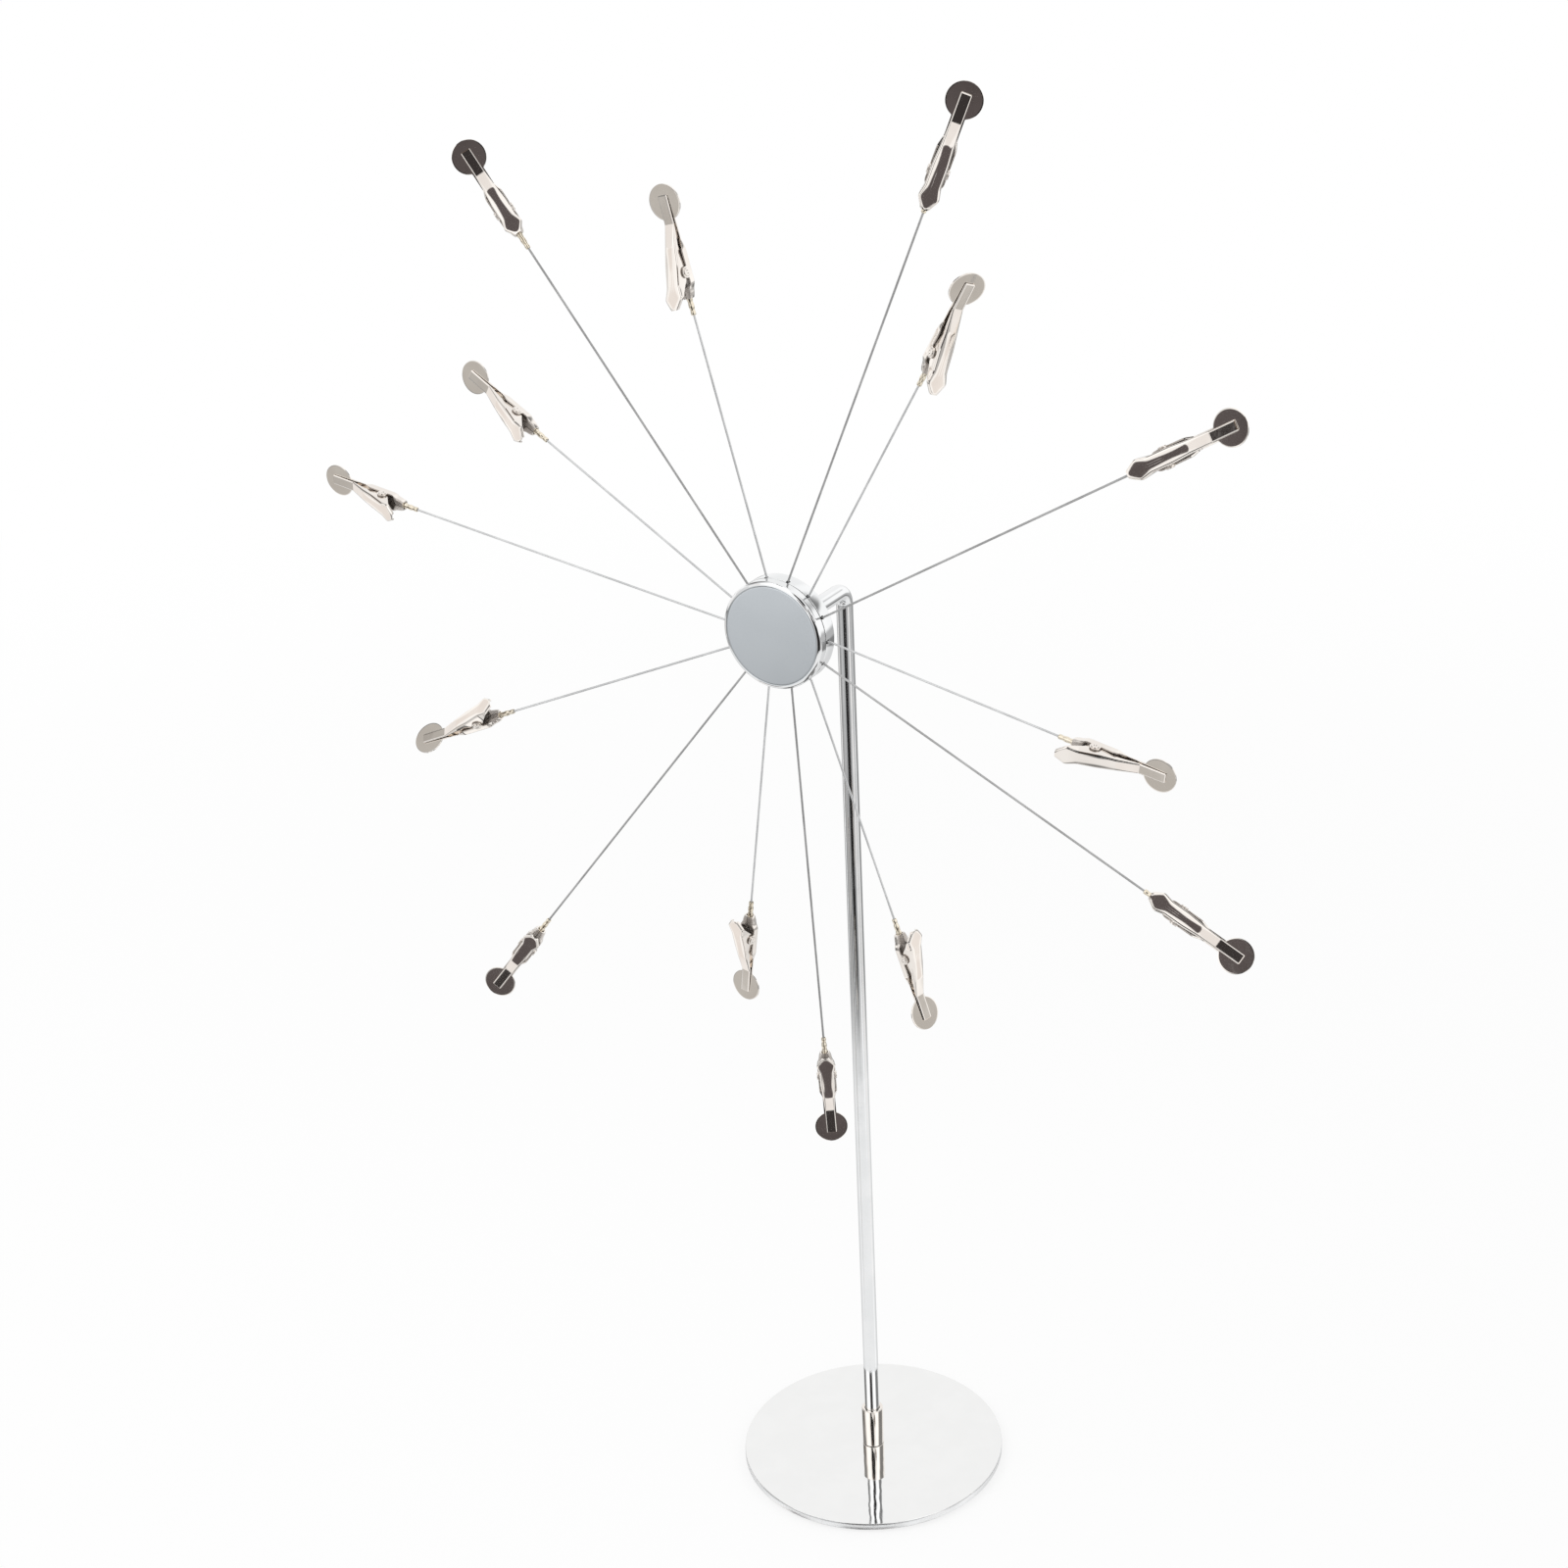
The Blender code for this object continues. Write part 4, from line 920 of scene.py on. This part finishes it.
def barrel_shape():
    """The crimp barrel on the wire, with two crimps and a rolled mouth."""
    along = moved(0, 0, BARREL_HEIGHT) @ spun(-90, "X")
    profile = [
        (0, BARREL_START),
        (1 * MM, BARREL_START),
        (BARREL_ROOT_RADIUS, BARREL_START + 0.15 * MM),
        *[(radius * MM, JAW_END + place * MM) for place, radius in CRIMPS],
        (0.88 * MM, BARREL_END - 0.25 * MM),
        (0.82 * MM, BARREL_END - 0.07 * MM),
        (0.72 * MM, BARREL_END),
        (0.6 * MM, BARREL_END - 0.06 * MM),
        (BARREL_BORE, BARREL_END - 0.25 * MM),
        (BARREL_BORE, BARREL_END - BARREL_BORE_DEPTH),
        (0, BARREL_END - BARREL_BORE_DEPTH),
    ]
    return turned(profile, SMALL_STEPS, along)


def spring_point(turn, across):
    """A point of the coil round the rivet, this many turns from the tail's side toward +Z."""
    angle = 2 * pi * turn
    along = PIVOT_ALONG + SPRING_RADIUS * cos(angle)
    return Vector((across, along, PIVOT_HEIGHT + SPRING_RADIUS * sin(angle)))


def spring_shape():
    """The coil round the rivet and the leg that lies on the jaw's floor."""
    steps = 12 * SPRING_TURNS
    half = SPRING_HALF_WIDTH
    shares = [step / steps for step in range(steps + 1)]
    coil = [spring_point(SPRING_TURNS * share - 0.25, half * (2 * share - 1)) for share in shares]
    floor = SHEET + SPRING_WIRE + 3 * HAIR
    leg = [(SPRING_FOOT, floor), (SPRING_FOOT - 2 * MM, floor + 0.1 * MM)]
    leg = [Vector((-half, along, height)) for along, height in leg]
    return rod(leg + coil, SPRING_WIRE, 10)


def spring_leg_shape():
    """The leg that presses up under the lever's thumb pad; it turns with the lever."""
    turns = [0.75 - 0.5 * i / 6 for i in range(7)]
    start = [spring_point(turn, SPRING_HALF_WIDTH) for turn in turns]
    under = body_top(SPRING_TIP) - SHEET * hypot(1, LEVER_RISE)
    under -= SPRING_WIRE + 0.12 * MM
    return rod(start + [Vector((SPRING_HALF_WIDTH, SPRING_TIP, under))], SPRING_WIRE, 10)


def paint_shade_inside(mesh, start, facing):
    """Painted shade in a folded sheet: from this place on along Y, its inner faces get the darker second
    finish. Its inside faces up, 1, or down, -1.
    """

    def is_inside(middle, normal):
        inward = normal.x * middle.x < -0.3 * abs(middle.x) or normal.z * facing > 0.5
        return middle.y > start and inward

    refinish(mesh, is_inside)


def add_clip_part(name, mesh, body, place, replaced=None):
    """A copy of a clip's part, made in place, so that each one has its own marks."""
    own = mesh.copy()
    own.name = name
    own.transform(place)
    add_piece(name, own, body, Matrix(), replaced)


def dress_spokes():
    # The jaw's and the lever's inner faces get painted shade, their darker second finishes
    jaw = as_mesh(jaw_shape(), "clip_jaw_sheet", "jaw", "inside")
    paint_shade_inside(jaw, BODY_START, 1)
    lever = as_mesh(lever_shape(), "clip_lever_sheet", "lever", "lever_painted_shade")
    paint_shade_inside(lever, FACET_END, -1)
    rivet = as_mesh(rivet_shape(), "clip_rivet", "jaw")
    barrel = as_mesh(barrel_shape(), "clip_barrel", "barrel")
    spring = as_mesh(spring_shape(), "clip_spring", "spring")
    leg = as_mesh(spring_leg_shape(), "clip_spring_leg", "spring")
    for number in range(SPOKE_COUNT):
        label = f"{number + 1:02d}"
        place = clip_frame(number)
        # Painted shade or painted light: the darker steel for the dark clips' wires, the paler for the
        # others
        steel = "wire" if number + 1 in DARK_CLIPS else "pale_wire"
        wire = as_mesh(rod(wire_path(number), WIRE_RADIUS, WIRE_STEPS), "spoke_" + label, steel)
        add_piece("spoke_" + label, wire, "wheel", AXIS, "spoke_wire_" + label)
        add_clip_part("jaw_" + label, jaw, "wheel", place, "clip_jaw_" + label)
        add_clip_part("rivet_" + label, rivet, "wheel", place)
        add_clip_part("barrel_" + label, barrel, "wheel", place)
        add_clip_part("spring_" + label, spring, "wheel", place)
        add_clip_part("lever_" + label, lever, "lever_" + label, place, "clip_lever_" + label)
        add_clip_part("spring_leg_" + label, leg, "lever_" + label, place)


def dress_hidden_nodes():
    """The solids that stay as they are get their finishes."""
    zinc = dict.fromkeys(("base_screw", "axle_screw", "axle_washer"), "zinc")
    for name, finish in {"base_foam": "foam", "hub_bush": "nylon", **zinc}.items():
        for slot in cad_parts[name].material_slots:
            slot.material = FINISHES[finish]


# Camera and studio


def toward(azimuth, elevation=0.0):
    """The direction from the object to a place at this azimuth and elevation in degrees."""
    turn, rise = radians(azimuth), radians(elevation)
    return Vector((sin(turn) * cos(rise), -cos(turn) * cos(rise), sin(rise)))


CAMERA_AZIMUTH = 30.786
CAMERA_ELEVATION = 27.755
CAMERA_DISTANCE = 1090.64 * MM
CAMERA_ROLL = -1.979
CAMERA_SENSOR = 36
CAMERA_LENS = 64.47
CAMERA_SHIFT = (-0.04591, 0.09585)
CAMERA_TARGET = Vector((0, 0, 250 * MM))
CAMERA_BACK = toward(CAMERA_AZIMUTH, CAMERA_ELEVATION)
CAMERA_PLACE = CAMERA_TARGET + CAMERA_BACK * CAMERA_DISTANCE


def set_camera():
    camera = bpy.data.cameras.new("photograph_camera")
    camera.sensor_width = CAMERA_SENSOR
    camera.lens = CAMERA_LENS
    camera.shift_x, camera.shift_y = CAMERA_SHIFT
    turn = radians(CAMERA_AZIMUTH)
    right = Vector((cos(turn), sin(turn), 0))
    up = CAMERA_BACK.cross(right)
    level = Matrix.Rotation(radians(CAMERA_ROLL), 3, CAMERA_BACK)
    view = Matrix((level @ right, level @ up, CAMERA_BACK)).transposed().to_4x4()
    holder = into_scene("photograph_camera", camera)
    holder.matrix_world = moved(*CAMERA_PLACE) @ view
    bpy.context.scene.camera = holder


TENT_WHITE = (1.1, 1.1, 1.1)
TENT_CREAM = (0.95, 0.93, 0.92)
TENT_BEIGE = (0.92, 0.88, 0.855)
TENT_BLACK = (0.045, 0.04, 0.04)
TENT_GRAY = (0.545, 0.53, 0.505)
TENT_DARK = (0.112, 0.097, 0.098)
TENT_BROWN = (0.13, 0.1, 0.08)
GROUND_RISE = -0.51  # metal that looks down more steeply than this sees the white floor
STEEP_RISE = -0.64  # more steeply than the post looks down
LENS_AZIMUTH = 24.0  # the dark gap in the tent, left of the camera's own azimuth
FACE_WAY = (-32.4, -21.6)  # what the hub's face mirrors: a card that darkens downward
BROW_WAY = (-58, -5)  # what the upper left of the hub's edge mirrors
PANEL_EDGE = 0.7  # half the width in degrees over which a panel fades out

# The tent's zones: an azimuth in degrees, and how far to each side of it, in radians, the zone
# is whole and where it ends
BACK = (210.8, 0.4, 0.6)
SOFT_BOXES = ((-30, 0.25, 0.6), (76, 0.2, 0.45))
SIDES = ((124, 0.3, 0.75), (-100, 0.38, 1.15))
RIGHT_CORNER = (158, 0.1, 0.32)
LEFT_CORNER = (-80, 0.1, 0.3)
LENS_BELOW = (LENS_AZIMUTH, 0.26, 0.54)
LENS_ABOVE = (LENS_AZIMUTH, 0.22, 0.4)
LENS_FOOT = (LENS_AZIMUTH, 0.35, 0.6)

# How much of the tone each zone takes away, or adds
LOW_SHADE = 0.53
BOX_GLOW = 0.35
SIDE_SHADE = 0.76
CORNER_SHADE = 0.55
BROW_SHADE = 0.3
LENS_SHADE = 0.98
FOOT_SHADE = 0.85


def mirrored_way(place, along, slope):
    """Where the lens looks to in a clip's flat face: a point under the clip's frame and the face's slope."""
    tilt = place @ moved(*along) @ spun(slope, "X")
    normal = tilt.to_3x3() @ Vector((0, 0, 1))
    to_lens = (CAMERA_PLACE - tilt.translation).normalized()
    return 2 * normal.dot(to_lens) * normal - to_lens


def side_way(place, angle):
    """Where the lens looks to in a clip's side at this angle from its lever's face: 90 is the cheek."""
    lever = place @ spun(LEVER_SLOPE, "X")
    middle = place @ Vector((0, PIVOT_ALONG, PIVOT_HEIGHT))
    to_lens = (CAMERA_PLACE - middle).normalized()
    side = lever.to_3x3() @ Vector((1, 0, 0))
    if side.dot(to_lens) < 0:
        side.negate()
    turn = radians(angle)
    normal = lever.to_3x3() @ Vector((0, 0, 1)) * cos(turn) + side * sin(turn)
    return 2 * normal.dot(to_lens) * normal - to_lens


def tent_panels():
    """The tent's small panels, as (direction, radius in degrees, colour); later ones hang in front."""
    panels, discs = [], []
    middle = (FACET_END + THUMB_WIDEST) / 2
    top = body_top(middle)
    root = STRIP_TOP + STRIP_RISE
    facet_slope = degrees(atan((FACET_TOP - root) / (FACET_END - STRIP_END)))
    strip_slope = degrees(atan(2 * STRIP_RISE / (STRIP_END - STRIP_TIP)))
    for number in range(SPOKE_COUNT):
        place = clip_frame(number)
        facet = (0, (STRIP_END + FACET_END) / 2, (root + FACET_TOP) / 2)
        at_facet = mirrored_way(place, facet, facet_slope)
        at_body = mirrored_way(place, (0, middle, top), LEVER_SLOPE)
        at_strip = mirrored_way(place, (0, 2 * MM, STRIP_TOP), strip_slope)
        at_disc = mirrored_way(place, (0, 0, SHEET), 0)
        if number + 1 in DARK_CLIPS:
            panels.append((at_body, 12, TENT_WHITE) if at_body.z > GROUND_RISE else (at_body, 9, TENT_CREAM))
            discs += [(at_body, 6.5, TENT_DARK), (at_disc, 2.7, TENT_DARK), (at_strip, 2.0, TENT_BLACK)]
        else:
            panels += [(at_body, 8, TENT_WHITE), (at_body, 4.5, TENT_BEIGE)]
            discs.append((at_disc, 2.9, TENT_GRAY))
            at_cheek = side_way(place, 90)
            at_fold = side_way(place, 45)
            if at_cheek.z < -0.9:
                panels.append((at_cheek, 6, TENT_WHITE))
            if at_fold.z > 0.1:
                discs.append((at_fold, 4.5, TENT_BROWN))
        panels.append((at_facet, 4.5, TENT_CREAM))
    needed = [panel for panel in panels if not STEEP_RISE < panel[0].z < GROUND_RISE or panel[1] > 8]
    return needed + discs


def set_world():
    """A white tent. Metal sees it white above, gray low down and at the back's sides, and dark
    at the lens."""
    world = bpy.data.worlds.new("white_tent")
    bpy.context.scene.world = world
    world.cycles.sampling_method = "NONE"
    nodes = Nodes(world)
    way = nodes.place("Generated")
    height = nodes.dot(way, (0, 0, 1))

    def aside(azimuth):
        """How far a direction lies from an azimuth, in radians."""
        across = nodes.dot(way, toward(azimuth + 90))
        ahead = nodes.dot(way, toward(azimuth))
        return across.math("ARCTAN2", ahead).math("ABSOLUTE")

    def zone(azimuth, whole, end):
        return 1 - aside(azimuth).ramp(whole, end)

    def spot(direction, whole, end):
        """1 round a direction, and 0 from this many degrees off it."""
        return nodes.dot(way, direction).ramp(cos(radians(end)), cos(radians(whole)))

    at_back = zone(*BACK)
    low = height.ramp(-0.09, -0.21)
    raised = height.ramp(0.3, 0.45) * height.ramp(0.88, 0.75)
    soft_boxes = zone(*SOFT_BOXES[0]).math("MAXIMUM", zone(*SOFT_BOXES[1]))
    tone = (1.1 - 0.1 * at_back) * (1 - LOW_SHADE * low) + BOX_GLOW * soft_boxes * raised
    at_sides = zone(*SIDES[0]).math("MAXIMUM", zone(*SIDES[1]))
    tone = tone * (1 - SIDE_SHADE * at_sides * raised * (1 - at_back))
    at_right = zone(*RIGHT_CORNER) * height.ramp(-0.3, -0.38)
    at_left = zone(*LEFT_CORNER) * low
    tone = tone * (1 - CORNER_SHADE * at_right.math("MAXIMUM", at_left))
    tone = tone * (1 - BROW_SHADE * spot(toward(*BROW_WAY), 14, 32))
    above = height.ramp(-0.3, -0.2)
    lens = (zone(*LENS_BELOW) * (1 - above) + zone(*LENS_ABOVE) * above) * height.ramp(0.82, 0.74)
    tone = tone * (1 - LENS_SHADE * lens)
    shade = zone(*LENS_FOOT) * height.ramp(-0.7, -0.76)
    shade = shade.math("MAXIMUM", height.ramp(-0.9, -0.93) * height.ramp(-0.972, -0.957))
    ground = (0.95 - 0.2 * aside(30.8).ramp(1.6, 2.4)) * (1 - FOOT_SHADE * shade)
    under = height.ramp(-0.475, -0.515)
    tone = tone * (1 - under) + ground * under
    at_face = spot(toward(*FACE_WAY), 5, 11)
    tone = tone * (1 - at_face) + (0.7 + 5.5 * (height - toward(*FACE_WAY).z)) * at_face
    seen = nodes.mix(tone * 0.5, rgb(0, 0, 0), rgb(2, 2, 2))
    for direction, radius, colour in tent_panels():
        on_panel = spot(direction, radius - PANEL_EDGE, radius + PANEL_EDGE)
        seen = nodes.mix(on_panel, seen, rgb(*colour))
    ray = nodes.add("ShaderNodeLightPath", output="Is Camera Ray")
    glossy = nodes.add("ShaderNodeLightPath", output="Is Glossy Ray")
    plain = nodes.mix(ray, rgb(0.85, 0.85, 0.85), rgb(1, 1, 1))
    outside = nodes.add("ShaderNodeBackground", None, {"Color": plain})
    in_metal = nodes.add("ShaderNodeBackground", None, {"Color": seen})
    nodes.finish(nodes.blend(glossy, outside, in_metal), "ShaderNodeOutputWorld")


FLOOR_RADIUS = 6.0
FLOOR_GLOW = 0.78  # how much of the sheet's tone is plain white near the object
FLOOR_FADE = (0.4, 1.4)  # where the sheet begins to run out into plain white, and where it has


def set_floor():
    """A white sheet that keeps the object's shadow and runs out into plain white."""
    nodes = new_material("studio_floor")
    nodes.owner.cycles.emission_sampling = "NONE"
    place = nodes.place()
    radius = nodes.vector("LENGTH", place, output="Value")
    fibre = nodes.noise(place, 1400, 3, 0.6)
    inputs = {
        "Base Color": nodes.mix(fibre, rgb(0.9, 0.9, 0.9), rgb(0.93, 0.93, 0.93)),
        "Roughness": 1.0,
        "Specular IOR Level": 0.0,
    }
    paper = nodes.add("ShaderNodeBsdfPrincipled", None, inputs)
    white = nodes.add("ShaderNodeEmission", None, {"Color": rgb(1, 1, 1), "Strength": 1.0})
    nodes.finish(nodes.blend(FLOOR_GLOW + (1 - FLOOR_GLOW) * radius.ramp(*FLOOR_FADE), paper, white))
    shape = bmesh.new()
    bmesh.ops.create_circle(shape, cap_ends=True, segments=RING_STEPS, radius=FLOOR_RADIUS)
    mesh = bare_mesh(shape, "studio_floor")
    mesh.materials.append(nodes.owner)
    floor = into_scene("studio_floor", mesh)
    floor.visible_glossy = False


# Each lamp's name, azimuth and elevation in degrees, distance, width and watts
LAMPS = [("key_lamp", -50, 48, 1.5, 0.9, 5.0), ("fill_lamp", 105, 40, 1.6, 0.7, 2.0)]


def add_lamp(name, azimuth, elevation, distance, size, power):
    """A soft square lamp that looks at the object's middle."""
    light = bpy.data.lights.new(name, "AREA")
    light.size = size
    light.energy = power
    back = toward(azimuth, elevation)
    lamp = into_scene(name, light)
    lamp.location = CAMERA_TARGET + back * distance
    lamp.rotation_mode = "QUATERNION"
    lamp.rotation_quaternion = (-back).to_track_quat("-Z", "Y")
    lamp.visible_glossy = False


# The whole

dress_base()
dress_post()
dress_hub()
dress_spokes()
dress_hidden_nodes()
set_camera()
set_world()
set_floor()
for settings in LAMPS:
    add_lamp(*settings)
bpy.context.scene.view_settings.view_transform = "Standard"
